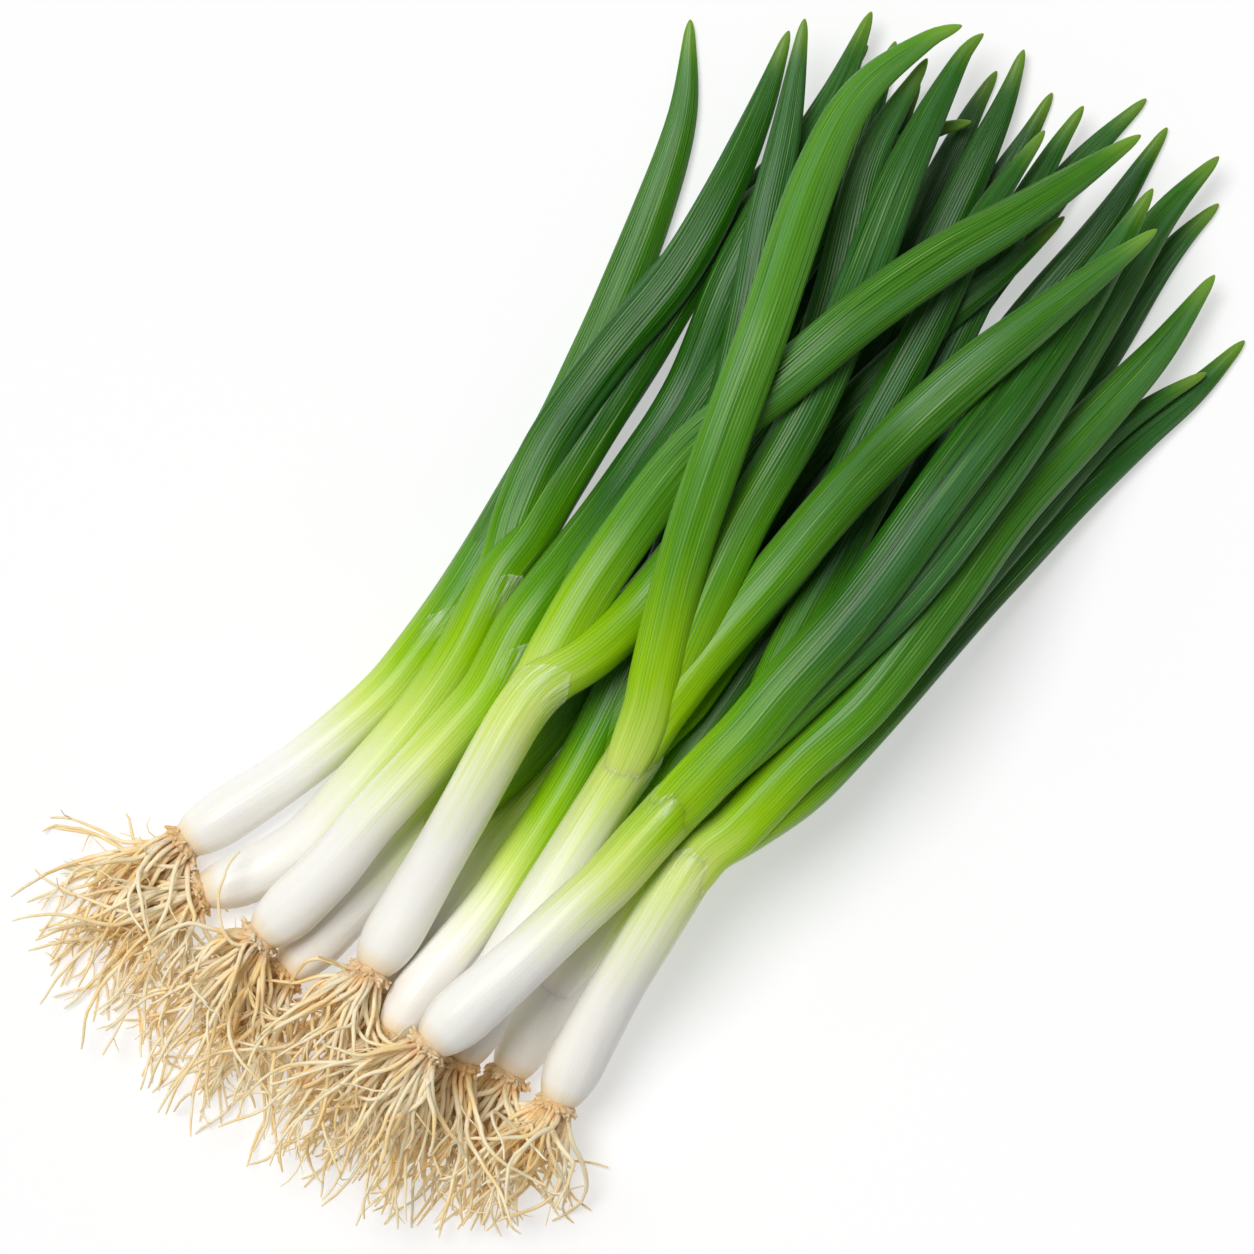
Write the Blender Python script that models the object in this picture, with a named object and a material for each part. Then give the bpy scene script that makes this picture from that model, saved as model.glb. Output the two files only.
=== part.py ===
"""A bunch of eleven spring onions lying on a flat surface.

Each onion is one leafy stem: a white shank with a slight bulb, forking into its long tubular
leaves. Its roots are a tuft of their own colour. The onions are laid down one by one, and every
stem and leaf rests on those under it. Metres, +Z up, +X from the roots to the leaf tips.
"""

import math
import random
from collections import namedtuple

import bmesh
import bpy
import numpy as np
from mathutils import Vector

PLAN_UNIT = 0.00025
BUNCH_TURN = math.radians(51.2)

BULB_WIDTH = 0.0142
SHANK_WIDTH = 0.0128
LEAF_WIDTH = 0.0118
BULB_LENGTH = 0.030
BASE_ROUNDING = 0.0120
BASE_PLATE_WIDTH = 0.0086
NECK_LENGTH = 0.045
LEAF_FLATNESS = 0.56
LEAF_ROOT_SHARE = 0.55
SISTER_SHARE_STEP = 0.05
SHEATH_SAMPLES = (8, 5, 2)
LEAF_SPREAD_LENGTH = 0.032
TIP_LENGTH = 0.078
TIP_WIDTH = 0.0014

STEM_SIDES = 8
RING_STEP = 0.020
TIP_RINGS = (0.004, 0.012)
SAMPLE_STEP = 0.003
CLEARANCE = 0.0006
FLOOR_PRESS = 0.0004
SISTER_ROOM = 0.8
SHANK_SAG = 0.00006
LEAF_SAG = 0.000025
SETTLE_ROUNDS = 6000
BEND_LENGTH = 0.012

ROOTS_PER_TUFT = 11
ROOT_TRIES = 900
ROOT_SIDES = 3
ROOT_STEPS = 5
ROOT_WIDTH = 0.0017
ROOT_TIP_WIDTH = 0.0010
ROOT_LENGTHS = (0.030, 0.052)
ROOT_GAP = 0.0024
ROOT_SPREAD = 0.75
ROOT_FALL = Vector((-0.95, -0.32, 0.0))
ROOT_PULL = 0.16
ROOT_DROOP = 0.30
ROOT_WANDER = 0.16
ROOT_PLATE_LENGTH = 0.0042
ROOT_FREE_LENGTH = 0.009
ROOT_PLATE_GAP = 0.0004
SEED = 11

Shoot = namedtuple("Shoot", "onion label width shank route")

# Routes run from the root end to the tip, seen from above, rightwards and downwards in plan
# units. They are listed as they are laid down, the lowest first. A shoot with a shank is its
# onion's stem with one leaf, and every other shoot is a further leaf that grows out of it.
SHOOTS = (
    Shoot("onion_11", "stem", 1.0, 0.085, (
        (388, 1000), (420, 945), (455, 893), (495, 845), (535, 800), (580, 750), (672, 640),
        (762, 515), (845, 375), (912, 240), (970, 120), (1000, 66))),
    Shoot("onion_11", "leaf", 0.9, None, (
        (520, 816), (555, 785), (610, 735), (670, 680), (725, 620), (825, 490), (915, 340),
        (990, 200), (1030, 135), (1056, 88))),
    Shoot("onion_01", "stem", 1.0, 0.090, (
        (184, 843), (225, 815), (262, 791), (300, 765), (340, 733), (380, 697), (410, 662),
        (462, 590), (515, 500), (565, 410), (612, 310), (652, 210), (683, 110), (691, 14))),
    Shoot("onion_01", "leaf", 0.72, None, (
        (425, 640), (458, 600), (480, 560), (500, 520), (560, 420), (620, 330), (665, 272),
        (720, 225), (770, 172), (815, 125), (845, 75), (870, 40))),
    Shoot("onion_04", "stem", 1.0, 0.085, (
        (285, 972), (320, 938), (355, 903), (390, 868), (425, 832), (460, 795), (500, 745),
        (590, 615), (690, 470), (775, 335), (830, 230), (868, 120), (898, 36))),
    Shoot("onion_04", "leaf", 0.85, None, (
        (440, 816), (484, 794), (540, 742), (592, 668), (680, 520), (762, 372), (835, 240),
        (885, 155), (922, 78))),
    Shoot("onion_09", "stem", 1.0, 0.085, (
        (508, 1075), (550, 1000), (590, 930), (628, 845), (665, 765), (705, 690), (745, 615),
        (785, 545), (845, 425), (905, 315), (965, 190), (1005, 105), (1027, 45))),
    Shoot("onion_09", "leaf", 0.9, None, (
        (610, 885), (640, 825), (680, 762), (727, 697), (787, 605), (860, 485), (955, 325),
        (1045, 207), (1095, 148), (1151, 94))),
    Shoot("onion_09", "leaf", 0.95, None, (
        (592, 925), (630, 862), (686, 792), (750, 722), (822, 635), (875, 560), (925, 485),
        (1010, 345), (1100, 232), (1150, 157), (1172, 123))),
    Shoot("onion_09", "leaf", 1.05, None, (
        (572, 963), (602, 918), (650, 858), (700, 808), (765, 757), (850, 675), (930, 585),
        (1010, 475), (1085, 377), (1150, 282), (1185, 238), (1224, 200))),
    Shoot("onion_10", "stem", 1.05, 0.090, (
        (557, 1102), (585, 1045), (615, 990), (645, 940), (675, 890), (702, 852), (745, 825),
        (800, 787), (848, 740), (890, 695), (930, 650), (995, 578), (1075, 494), (1145, 432),
        (1200, 388), (1250, 338))),
    Shoot("onion_10", "leaf", 0.75, None, (
        (690, 868), (735, 832), (800, 775), (870, 705), (960, 600), (1030, 520), (1105, 440),
        (1160, 400), (1210, 371))),
    Shoot("onion_10", "leaf", 1.1, None, (
        (680, 882), (706, 850), (735, 828), (800, 760), (865, 700), (940, 605), (1010, 510),
        (1085, 430), (1160, 350), (1218, 273))),
    Shoot("onion_10", "leaf", 0.9, None, (
        (690, 868), (708, 838), (726, 795), (752, 735), (785, 655), (850, 535), (920, 405),
        (990, 268), (1050, 160), (1086, 103))),
    Shoot("onion_02", "stem", 1.0, 0.105, (
        (202, 893), (235, 882), (270, 865), (305, 840), (340, 803), (375, 765), (410, 725),
        (440, 685), (465, 645), (485, 605), (505, 568), (530, 535), (560, 485), (600, 420),
        (645, 350), (690, 280), (740, 215), (800, 150))),
    Shoot("onion_02", "leaf", 1.0, None, (
        (480, 615), (498, 575), (508, 545), (518, 510), (550, 440), (610, 355), (675, 275),
        (722, 195), (760, 110), (790, 27))),
    Shoot("onion_03", "stem", 1.05, 0.100, (
        (262, 936), (300, 900), (335, 865), (370, 822), (410, 778), (450, 735), (485, 695),
        (505, 658), (525, 622), (575, 555), (640, 465), (690, 385), (735, 275), (790, 175),
        (840, 85), (873, 8))),
    Shoot("onion_03", "leaf", 0.85, None, (
        (478, 705), (505, 678), (535, 640), (570, 592), (665, 460), (750, 335), (825, 225),
        (880, 160), (930, 131), (973, 119))),
    Shoot("onion_06", "stem", 0.92, 0.095, (
        (394, 1032), (420, 990), (455, 948), (490, 905), (515, 868), (540, 830), (565, 790),
        (590, 745), (612, 700), (632, 655), (670, 560), (725, 410), (748, 320), (765, 225),
        (786, 130), (805, 18))),
    Shoot("onion_06", "leaf", 0.8, None, (
        (560, 798), (590, 755), (625, 700), (670, 635), (720, 570), (820, 440), (925, 335),
        (1000, 275), (1065, 216))),
    Shoot("onion_05", "stem", 1.05, 0.092, (
        (372, 968), (395, 930), (420, 888), (445, 845), (470, 800), (495, 755), (520, 712),
        (545, 682), (585, 657), (620, 628), (655, 590), (725, 500), (795, 410), (835, 300),
        (870, 160), (928, 57))),
    Shoot("onion_07", "stem", 1.05, 0.105, (
        (462, 1058), (485, 1005), (515, 948), (540, 905), (565, 865), (590, 825), (615, 785),
        (640, 745), (665, 695), (690, 640), (740, 530), (810, 405), (858, 290), (905, 170),
        (960, 60), (984, 33))),
    Shoot("onion_07", "leaf", 0.9, None, (
        (632, 758), (662, 728), (690, 700), (745, 622), (810, 540), (880, 412), (930, 320),
        (985, 215), (1045, 130))),
    Shoot("onion_08", "stem", 1.1, 0.100, (
        (432, 1040), (470, 1005), (510, 970), (545, 938), (580, 905), (612, 875), (645, 838),
        (680, 800), (715, 765), (790, 700), (890, 605), (975, 500), (1045, 400), (1105, 305),
        (1165, 215), (1222, 154))),
    Shoot("onion_08", "leaf", 1.2, None, (
        (678, 802), (712, 766), (745, 732), (780, 690), (860, 600), (940, 490), (1020, 385),
        (1095, 280), (1151, 190))),
    Shoot("onion_07", "leaf", 1.1, None, (
        (632, 758), (654, 722), (676, 692), (705, 655), (775, 575), (850, 487), (945, 395),
        (1035, 322), (1152, 233))),
    Shoot("onion_05", "leaf", 1.12, None, (
        (518, 715), (540, 680), (560, 642), (605, 567), (690, 455), (780, 385), (860, 318),
        (940, 262), (1020, 215), (1140, 136))),
    Shoot("onion_07", "leaf", 1.1, None, (
        (632, 758), (646, 715), (656, 670), (680, 570), (712, 470), (765, 325), (815, 180),
        (860, 95), (925, 42), (962, 26))),
)

COLOURS = {
    "stem": ((0.30, 0.52, 0.10, 1.0), 0.38),
    "roots": ((0.72, 0.58, 0.36, 1.0), 0.75),
}

Strand = namedtuple("Strand", "shoot along plan widths heights levels")


def clear_scene():
    for item in list(bpy.data.objects):
        bpy.data.objects.remove(item, do_unlink=True)


def material(kind):
    """The plain finish of one kind of piece."""
    colour, roughness = COLOURS[kind]
    made = bpy.data.materials.new(kind)
    made.use_nodes = True
    shader = made.node_tree.nodes["Principled BSDF"]
    shader.inputs["Base Color"].default_value = colour
    shader.inputs["Roughness"].default_value = roughness
    return made


def ease(share):
    """A smooth step from 0 to 1."""
    share = np.clip(share, 0.0, 1.0)
    return share * share * (3.0 - 2.0 * share)


def plan_points(route):
    """A route's points in metres, turned so that the bunch lies along +X."""
    right = np.array([point[0] for point in route]) * PLAN_UNIT
    up = -np.array([point[1] for point in route]) * PLAN_UNIT
    cosine = math.cos(BUNCH_TURN)
    sine = math.sin(BUNCH_TURN)
    return np.column_stack((right * cosine + up * sine, up * cosine - right * sine))


def smooth_route(points):
    """Evenly spaced samples of one smooth curve through the points (Catmull-Rom)."""
    ends = (2.0 * points[0] - points[1], 2.0 * points[-1] - points[-2])
    knots = np.vstack((ends[0], points, ends[1]))
    pieces = []
    share = np.linspace(0.0, 1.0, 24, endpoint=False)[:, None]
    for before, start, end, after in zip(knots, knots[1:], knots[2:], knots[3:]):
        pieces.append(0.5 * (
            2.0 * start
            + (end - before) * share
            + (2.0 * before - 5.0 * start + 4.0 * end - after) * share ** 2
            + (3.0 * start - before - 3.0 * end + after) * share ** 3
        ))
    dense = np.vstack(pieces + [points[-1:]])
    steps = np.linalg.norm(np.diff(dense, axis=0), axis=1)
    distance = np.concatenate(([0.0], np.cumsum(steps)))
    count = int(round(distance[-1] / SAMPLE_STEP)) + 1
    along = np.linspace(0.0, distance[-1], count)
    plan = np.column_stack([np.interp(along, distance, dense[:, axis]) for axis in (0, 1)])
    return along, plan


def tip_taper(along):
    """1 along a leaf, falling in a slender point to 0 at its tip."""
    share = np.clip((along[-1] - along) / TIP_LENGTH, 0.0, 1.0)
    return 1.0 - (1.0 - share) ** 2.3


def stem_widths(along, shoot):
    """Width along a stem: rounded base, bulb, shank, then its leaf."""
    leaf = LEAF_WIDTH * shoot.width
    shank = SHANK_WIDTH * shoot.width
    bulb = BULB_WIDTH * shoot.width
    widths = shank + (bulb - shank) * (1.0 - ease((along - 0.008) / BULB_LENGTH))
    widths = widths + (leaf - widths) * ease((along - shoot.shank) / NECK_LENGTH)
    rounding = np.sqrt(1.0 - (1.0 - np.clip(along / BASE_ROUNDING, 0.0, 1.0)) ** 2)
    widths = BASE_PLATE_WIDTH + (widths - BASE_PLATE_WIDTH) * rounding
    return TIP_WIDTH + (widths - TIP_WIDTH) * tip_taper(along)


def leaf_widths(along, shoot, share):
    """Width along a further leaf, which starts inside the stem at a share of its full width."""
    leaf = LEAF_WIDTH * shoot.width
    grown = share + (1.0 - share) * ease(along / LEAF_SPREAD_LENGTH)
    return TIP_WIDTH + (leaf * grown - TIP_WIDTH) * tip_taper(along)


def flatness(along, shoot):
    """Height over width: round on the shank, flatter on a leaf."""
    if shoot.shank is None:
        return 0.85 + (LEAF_FLATNESS - 0.85) * ease(along / LEAF_SPREAD_LENGTH)
    return 1.0 + (LEAF_FLATNESS - 1.0) * ease((along - shoot.shank) / NECK_LENGTH)


def lowest_levels(along, plan, widths, heights, shoot, laid):
    """The least centre height at each sample: above the floor and above every laid strand."""
    levels = heights / 2.0 - FLOOR_PRESS
    for other in laid:
        gaps = np.linalg.norm(plan[:, None, :] - other.plan[None, :, :], axis=2)
        reach = (widths[:, None] + other.widths[None, :]) / 2.0 + CLEARANCE
        rise = (heights[:, None] + other.heights[None, :]) / 2.0 + CLEARANCE
        if other.shoot.onion == shoot.onion:
            free = along - SHEATH_SAMPLES[0] * SAMPLE_STEP
            parted = SISTER_ROOM * ease(free / (2.0 * LEAF_SPREAD_LENGTH))[:, None]
            reach = reach * parted + 1e-9
            rise = rise * parted
        over = np.sqrt(np.clip(1.0 - (gaps / reach) ** 2, 0.0, None)) * rise
        needed = np.where(gaps < reach, other.levels[None, :] + over, -1.0)
        levels = np.maximum(levels, needed.max(axis=1))
    return levels


def settle(lowest, sag, start):
    """A taut line over the levels that must be cleared, with its bends rounded."""
    levels = lowest.copy()
    for _ in range(SETTLE_ROUNDS):
        inner = 0.5 * (levels[:-2] + levels[2:]) - sag[1:-1]
        levels[1:-1] = np.maximum(lowest[1:-1], inner)
        levels[0] = max(lowest[0], levels[1]) if start is None else start
        levels[-1] = max(lowest[-1], levels[-2] - sag[-1])
    reach = int(round(BEND_LENGTH / SAMPLE_STEP))
    padded = np.pad(levels, reach, mode="edge")
    windows = np.lib.stride_tricks.sliding_window_view(padded, 2 * reach + 1)
    raised = np.pad(windows.max(axis=1), reach, mode="edge")
    weights = np.hanning(2 * reach + 3)[1:-1]
    windows = np.lib.stride_tricks.sliding_window_view(raised, 2 * reach + 1)
    rounded = windows @ (weights / weights.sum())
    if start is None:
        return rounded
    blend = ease(np.arange(len(levels)) / (2.0 * reach))
    return start + (rounded - start) * blend


def lay_stem(shoot, laid):
    """Lays a stem on the strands before it."""
    along, plan = smooth_route(plan_points(shoot.route))
    widths = stem_widths(along, shoot)
    heights = widths * flatness(along, shoot)
    lowest = lowest_levels(along, plan, widths, heights, shoot, laid)
    sag = SHANK_SAG + (LEAF_SAG - SHANK_SAG) * ease(along / shoot.shank)
    return Strand(shoot, along, plan, widths, heights, settle(lowest, sag, None))


def lay_leaf(shoot, laid):
    """Lays a further leaf, which runs up inside its stem before it parts from it."""
    stem, *sisters = [strand for strand in laid if strand.shoot.onion == shoot.onion]
    points = plan_points(shoot.route)
    parting = int(np.argmin(np.linalg.norm(stem.plan - points[0], axis=1)))
    inside = [stem.plan[parting - samples] for samples in SHEATH_SAMPLES]
    along, plan = smooth_route(np.vstack((inside, points[1:])))
    widths = leaf_widths(along, shoot, LEAF_ROOT_SHARE - SISTER_SHARE_STEP * len(sisters))
    heights = widths * flatness(along, shoot)
    lowest = lowest_levels(along, plan, widths, heights, shoot, laid)
    sheath = stem.levels[parting - SHEATH_SAMPLES[0]:parting]
    lowest[:len(sheath)] = sheath
    levels = settle(lowest, np.full(len(along), LEAF_SAG), sheath[0])
    return Strand(shoot, along, plan, widths, heights, levels)


def lay_down(shoots):
    """Lays each shoot on those before it and returns them with their heights."""
    laid = []
    for shoot in shoots:
        lay = lay_leaf if shoot.shank is None else lay_stem
        laid.append(lay(shoot, laid))
    return laid


def ring_places(along, shoot):
    """Distances of a tube's rings: close at the rounded base and the tip, even between."""
    length = along[-1]
    first = 0.0
    places = []
    if shoot.shank is not None:
        places = [0.0, 0.25 * BASE_ROUNDING, BASE_ROUNDING]
        first = BASE_ROUNDING
    last = length - TIP_RINGS[-1]
    count = max(2, int(round((last - first) / RING_STEP)))
    places += [first + (last - first) * step / count for step in range(count + 1)]
    places += [length - distance for distance in reversed(TIP_RINGS[:-1])]
    return sorted(set(places))


def add_ring(mesh, centre, tangent, width, height, sides):
    """One elliptical ring square to the tangent, a flat side down, pressed flat on the floor."""
    side = tangent.cross(Vector((0.0, 0.0, 1.0))).normalized()
    rise = side.cross(tangent).normalized()
    ring = []
    for step in range(sides):
        angle = 2.0 * math.pi * (step + 0.5) / sides - 0.5 * math.pi
        across = side * (0.5 * width * math.cos(angle))
        point = centre + across + rise * (0.5 * height * math.sin(angle))
        point.z = max(point.z, 0.0)
        ring.append(mesh.verts.new(point))
    return ring


def bridge(mesh, near, far):
    for step in range(len(near)):
        after = (step + 1) % len(near)
        mesh.faces.new((near[step], near[after], far[after], far[step]))


def mesh_object(name, mesh, kind):
    """A new object that owns the mesh, with its faces outwards."""
    bmesh.ops.recalc_face_normals(mesh, faces=mesh.faces)
    data = bpy.data.meshes.new(name)
    mesh.to_mesh(data)
    mesh.free()
    made = bpy.data.objects.new(name, data)
    data.materials.append(kind)
    bpy.context.scene.collection.objects.link(made)
    return made


def strand_tube(name, strand, kind):
    """The closed tube of one shoot, ending in its pointed tip."""
    mesh = bmesh.new()
    curve = np.column_stack((strand.plan, strand.levels))
    slopes = np.gradient(curve, strand.along, axis=0)
    previous = None
    for place in ring_places(strand.along, strand.shoot):
        centre, slope = (
            Vector([np.interp(place, strand.along, values[:, axis]) for axis in range(3)])
            for values in (curve, slopes)
        )
        width, height = (
            np.interp(place, strand.along, values) for values in (strand.widths, strand.heights)
        )
        ring = add_ring(mesh, centre, slope.normalized(), width, height, STEM_SIDES)
        if previous is None:
            mesh.faces.new(reversed(ring))
        else:
            bridge(mesh, previous, ring)
        previous = ring
    tip = mesh.verts.new(Vector(curve[-1]))
    for step in range(STEM_SIDES):
        mesh.faces.new((previous[step], previous[(step + 1) % STEM_SIDES], tip))
    return mesh_object(name, mesh, kind)


def fuse(name, pieces):
    """Joins the pieces in one solid by a Boolean union, and removes all but the first."""
    first, others = pieces[0], pieces[1:]
    if others:
        repeats = bpy.data.collections.new(name + "_repeats")
        for piece in others:
            bpy.context.scene.collection.objects.unlink(piece)
            repeats.objects.link(piece)
        union = first.modifiers.new("union", "BOOLEAN")
        union.operation = "UNION"
        union.operand_type = "COLLECTION"
        union.collection = repeats
        union.solver = "EXACT"
        bpy.context.view_layer.update()
        graph = bpy.context.evaluated_depsgraph_get()
        joined = bpy.data.meshes.new_from_object(first.evaluated_get(graph))
        first.modifiers.remove(union)
        first.data = joined
        for piece in others:
            bpy.data.objects.remove(piece, do_unlink=True)
        bpy.data.collections.remove(repeats)
        keep_outer_shell(first.data)
    first.name = name
    return first


def keep_outer_shell(data):
    """Drops every closed shell but the largest, so that a hollow sealed by the union is solid."""
    mesh = bmesh.new()
    mesh.from_mesh(data)
    waiting = set(mesh.verts)
    shells = []
    while waiting:
        shell = set()
        edge = [waiting.pop()]
        while edge:
            vertex = edge.pop()
            shell.add(vertex)
            near = {link.other_vert(vertex) for link in vertex.link_edges} & waiting
            waiting -= near
            edge += near
        shells.append(shell)
    shells.sort(key=len)
    for shell in shells[:-1]:
        bmesh.ops.delete(mesh, geom=list(shell), context="VERTS")
    mesh.to_mesh(data)
    mesh.free()


def root_path(rng, start, axis, length):
    """One root: out of the plate, drooping to the floor and swept the way that the tufts lie."""
    side = axis.cross(Vector((0.0, 0.0, 1.0))).normalized()
    rise = side.cross(axis).normalized()
    turn = rng.uniform(0.0, 2.0 * math.pi)
    spread = ROOT_SPREAD * math.sqrt(rng.uniform(0.02, 1.0))
    aim = axis * math.cos(spread)
    aim = aim + (side * math.cos(turn) + rise * math.sin(turn)) * math.sin(spread)
    offset = (side * math.cos(turn) + rise * math.sin(turn)) * (0.22 * BASE_PLATE_WIDTH)
    point = start + axis * (0.4 * ROOT_PLATE_LENGTH) + offset
    points = [point.copy()]
    step = length / ROOT_STEPS
    lowest = 0.5 * ROOT_WIDTH + 0.0002
    for _ in range(ROOT_STEPS):
        aim = (aim + ROOT_FALL * ROOT_PULL + Vector((
            rng.uniform(-ROOT_WANDER, ROOT_WANDER),
            rng.uniform(-ROOT_WANDER, ROOT_WANDER),
            -ROOT_DROOP,
        ))).normalized()
        point = point + aim * step
        if point.z < lowest:
            point.z = lowest
            aim.z = 0.0
            aim.normalize()
        points.append(point.copy())
    return points


def root_samples(points):
    """Points along a root, a quarter step apart."""
    found = []
    for start, end in zip(points, points[1:]):
        found += [start.lerp(end, share / 4.0) for share in range(4)]
    return np.array(found + [points[-1]])


def clear_of_stems(samples, onion, laid):
    """True where a root keeps its distance from every stem and leaf."""
    for strand in laid:
        centres = np.column_stack((strand.plan, strand.levels))
        radii = strand.widths / 2.0
        if strand.shoot.onion == onion:
            kept = strand.along > ROOT_FREE_LENGTH
            centres, radii = centres[kept], radii[kept]
        gaps = np.linalg.norm(samples[:, None, :] - centres[None, :, :], axis=2)
        if (gaps < radii[None, :] + 0.5 * ROOT_WIDTH + CLEARANCE).any():
            return False
    return True


def plate_object(name, start, axis, kind):
    """The small domed plate under the shank that the roots grow from."""
    mesh = bmesh.new()
    previous = None
    for share, width in ((0.0, 0.94), (0.55, 0.98), (1.0, 0.6)):
        centre = start + axis * (share * ROOT_PLATE_LENGTH)
        size = BASE_PLATE_WIDTH * width
        ring = add_ring(mesh, centre, axis, size, size, STEM_SIDES)
        if previous is None:
            mesh.faces.new(reversed(ring))
        else:
            bridge(mesh, previous, ring)
        previous = ring
    mesh.faces.new(previous)
    return mesh_object(name, mesh, kind)


def root_tube(name, points, kind):
    """A thin pointed tube along one root."""
    mesh = bmesh.new()
    previous = None
    tangent = (points[1] - points[0]).normalized()
    side = tangent.orthogonal().normalized()
    for index, point in enumerate(points[:-1]):
        tangent = (points[index + 1] - points[max(index - 1, 0)]).normalized()
        side = (side - tangent * side.dot(tangent)).normalized()
        rise = tangent.cross(side)
        size = 0.5 * (ROOT_WIDTH + (ROOT_TIP_WIDTH - ROOT_WIDTH) * index / ROOT_STEPS)
        ring = []
        for step in range(ROOT_SIDES):
            angle = 2.0 * math.pi * step / ROOT_SIDES
            across = side * (size * math.cos(angle))
            ring.append(mesh.verts.new(point + across + rise * (size * math.sin(angle))))
        if previous is None:
            mesh.faces.new(reversed(ring))
        else:
            bridge(mesh, previous, ring)
        previous = ring
    tip = mesh.verts.new(points[-1])
    for step in range(ROOT_SIDES):
        mesh.faces.new((previous[step], previous[(step + 1) % ROOT_SIDES], tip))
    return mesh_object(name, mesh, kind)


def nearest_gap(samples, others):
    """The least distance between a root's samples and any of the other points."""
    if not others:
        return math.inf
    return float(np.linalg.norm(samples[:, None, :] - np.vstack(others)[None, :, :], axis=2).min())


def plate_points(place, way):
    """Points down the middle of a root plate."""
    return np.array([place + way * (share * ROOT_PLATE_LENGTH) for share in (0.0, 0.5, 1.0)])


def grow_roots(rng, onion, laid, grown, plates):
    """Root paths for one onion, clear of every stem, of the other tufts and of their plates."""
    start, axis = plates[onion]
    tufts = [samples for owner, samples in grown if owner != onion]
    bases = [plate_points(*plate) for owner, plate in plates.items() if owner != onion]
    paths = []
    for _ in range(ROOT_TRIES):
        points = root_path(rng, start, axis, rng.uniform(*ROOT_LENGTHS))
        samples = root_samples(points)
        if nearest_gap(samples, tufts) < ROOT_GAP:
            continue
        if nearest_gap(samples, bases) < 0.6 * BASE_PLATE_WIDTH + ROOT_GAP:
            continue
        if not clear_of_stems(samples, onion, laid):
            continue
        paths.append(points)
        grown.append((onion, samples))
        if len(paths) == ROOTS_PER_TUFT:
            break
    return paths


def root_plates(laid):
    """Where each onion's root plate starts, and the way that it faces."""
    plates = {}
    for strand in laid:
        if strand.shoot.shank is None:
            continue
        first = Vector((*strand.plan[0], strand.levels[0]))
        second = Vector((*strand.plan[2], strand.levels[2]))
        axis = (first - second).normalized()
        plates[strand.shoot.onion] = (first + axis * ROOT_PLATE_GAP, axis)
    return plates


def build_stems(laid, kind):
    """One solid for each onion: its stem with every leaf that grows from it."""
    onions = sorted({strand.shoot.onion for strand in laid})
    made = []
    for onion in onions:
        strands = [strand for strand in laid if strand.shoot.onion == onion]
        pieces = [strand_tube(f"{onion}_{index}", strand, kind) for index, strand in enumerate(strands)]
        made.append(fuse(onion, pieces))
    return made


def build_roots(laid, kind):
    """One solid for each onion's tuft of roots."""
    rng = random.Random(SEED)
    plates = root_plates(laid)
    grown = []
    made = []
    for onion in sorted(plates):
        name = onion + "_roots"
        pieces = [plate_object(name + "_plate", *plates[onion], kind)]
        for index, points in enumerate(grow_roots(rng, onion, laid, grown, plates)):
            pieces.append(root_tube(f"{name}_{index}", points, kind))
        made.append(fuse(name, pieces))
    return made


def centre_over_origin(pieces):
    """Moves every mesh so that the middle of the bunch's box stands over the origin."""
    corners = np.array([tuple(vertex.co) for piece in pieces for vertex in piece.data.vertices])
    middle = 0.5 * (corners.min(axis=0) + corners.max(axis=0))
    shift = Vector((-middle[0], -middle[1], 0.0))
    for piece in pieces:
        for vertex in piece.data.vertices:
            vertex.co += shift


def main():
    clear_scene()
    laid = lay_down(SHOOTS)
    pieces = build_stems(laid, material("stem"))
    pieces += build_roots(laid, material("roots"))
    centre_over_origin(pieces)
    for piece in pieces:
        piece.data.shade_smooth()
        piece.data.set_sharp_from_angle(angle=math.radians(50.0))


main()
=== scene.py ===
import functools
import math
import random
from collections import namedtuple

import bpy
import numpy as np
from bpy.props import FloatProperty, FloatVectorProperty, IntProperty, PointerProperty
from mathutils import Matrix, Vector, noise


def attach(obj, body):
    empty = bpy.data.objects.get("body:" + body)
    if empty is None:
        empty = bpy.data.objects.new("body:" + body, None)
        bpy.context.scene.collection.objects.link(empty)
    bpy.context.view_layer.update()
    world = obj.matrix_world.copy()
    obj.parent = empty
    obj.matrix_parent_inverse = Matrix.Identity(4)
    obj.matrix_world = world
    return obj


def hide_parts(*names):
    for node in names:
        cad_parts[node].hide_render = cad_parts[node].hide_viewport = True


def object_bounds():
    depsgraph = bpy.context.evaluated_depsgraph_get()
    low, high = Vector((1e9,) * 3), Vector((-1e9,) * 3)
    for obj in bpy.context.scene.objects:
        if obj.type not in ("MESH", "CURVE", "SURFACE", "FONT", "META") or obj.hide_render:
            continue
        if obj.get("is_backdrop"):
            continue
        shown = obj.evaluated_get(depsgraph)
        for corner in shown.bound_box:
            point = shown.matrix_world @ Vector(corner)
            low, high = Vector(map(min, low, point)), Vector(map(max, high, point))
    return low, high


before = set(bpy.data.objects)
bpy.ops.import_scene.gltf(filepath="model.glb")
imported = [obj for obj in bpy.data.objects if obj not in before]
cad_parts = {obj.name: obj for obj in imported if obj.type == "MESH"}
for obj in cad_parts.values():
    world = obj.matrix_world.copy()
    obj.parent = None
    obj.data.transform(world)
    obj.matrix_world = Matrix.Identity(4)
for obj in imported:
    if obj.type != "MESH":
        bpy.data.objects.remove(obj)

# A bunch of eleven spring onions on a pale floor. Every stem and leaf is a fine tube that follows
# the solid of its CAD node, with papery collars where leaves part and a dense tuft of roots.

bl_info = {
    "name": "Spring onion bunch",
    "version": (1, 0, 0),
    "blender": (4, 5, 0),
    "location": "View3D > Sidebar > Spring onions",
    "description": "Dresses the packed bunch of spring onions with fine leaves, collars and roots",
    "category": "Add Mesh",
}

BODY = "root"

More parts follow.
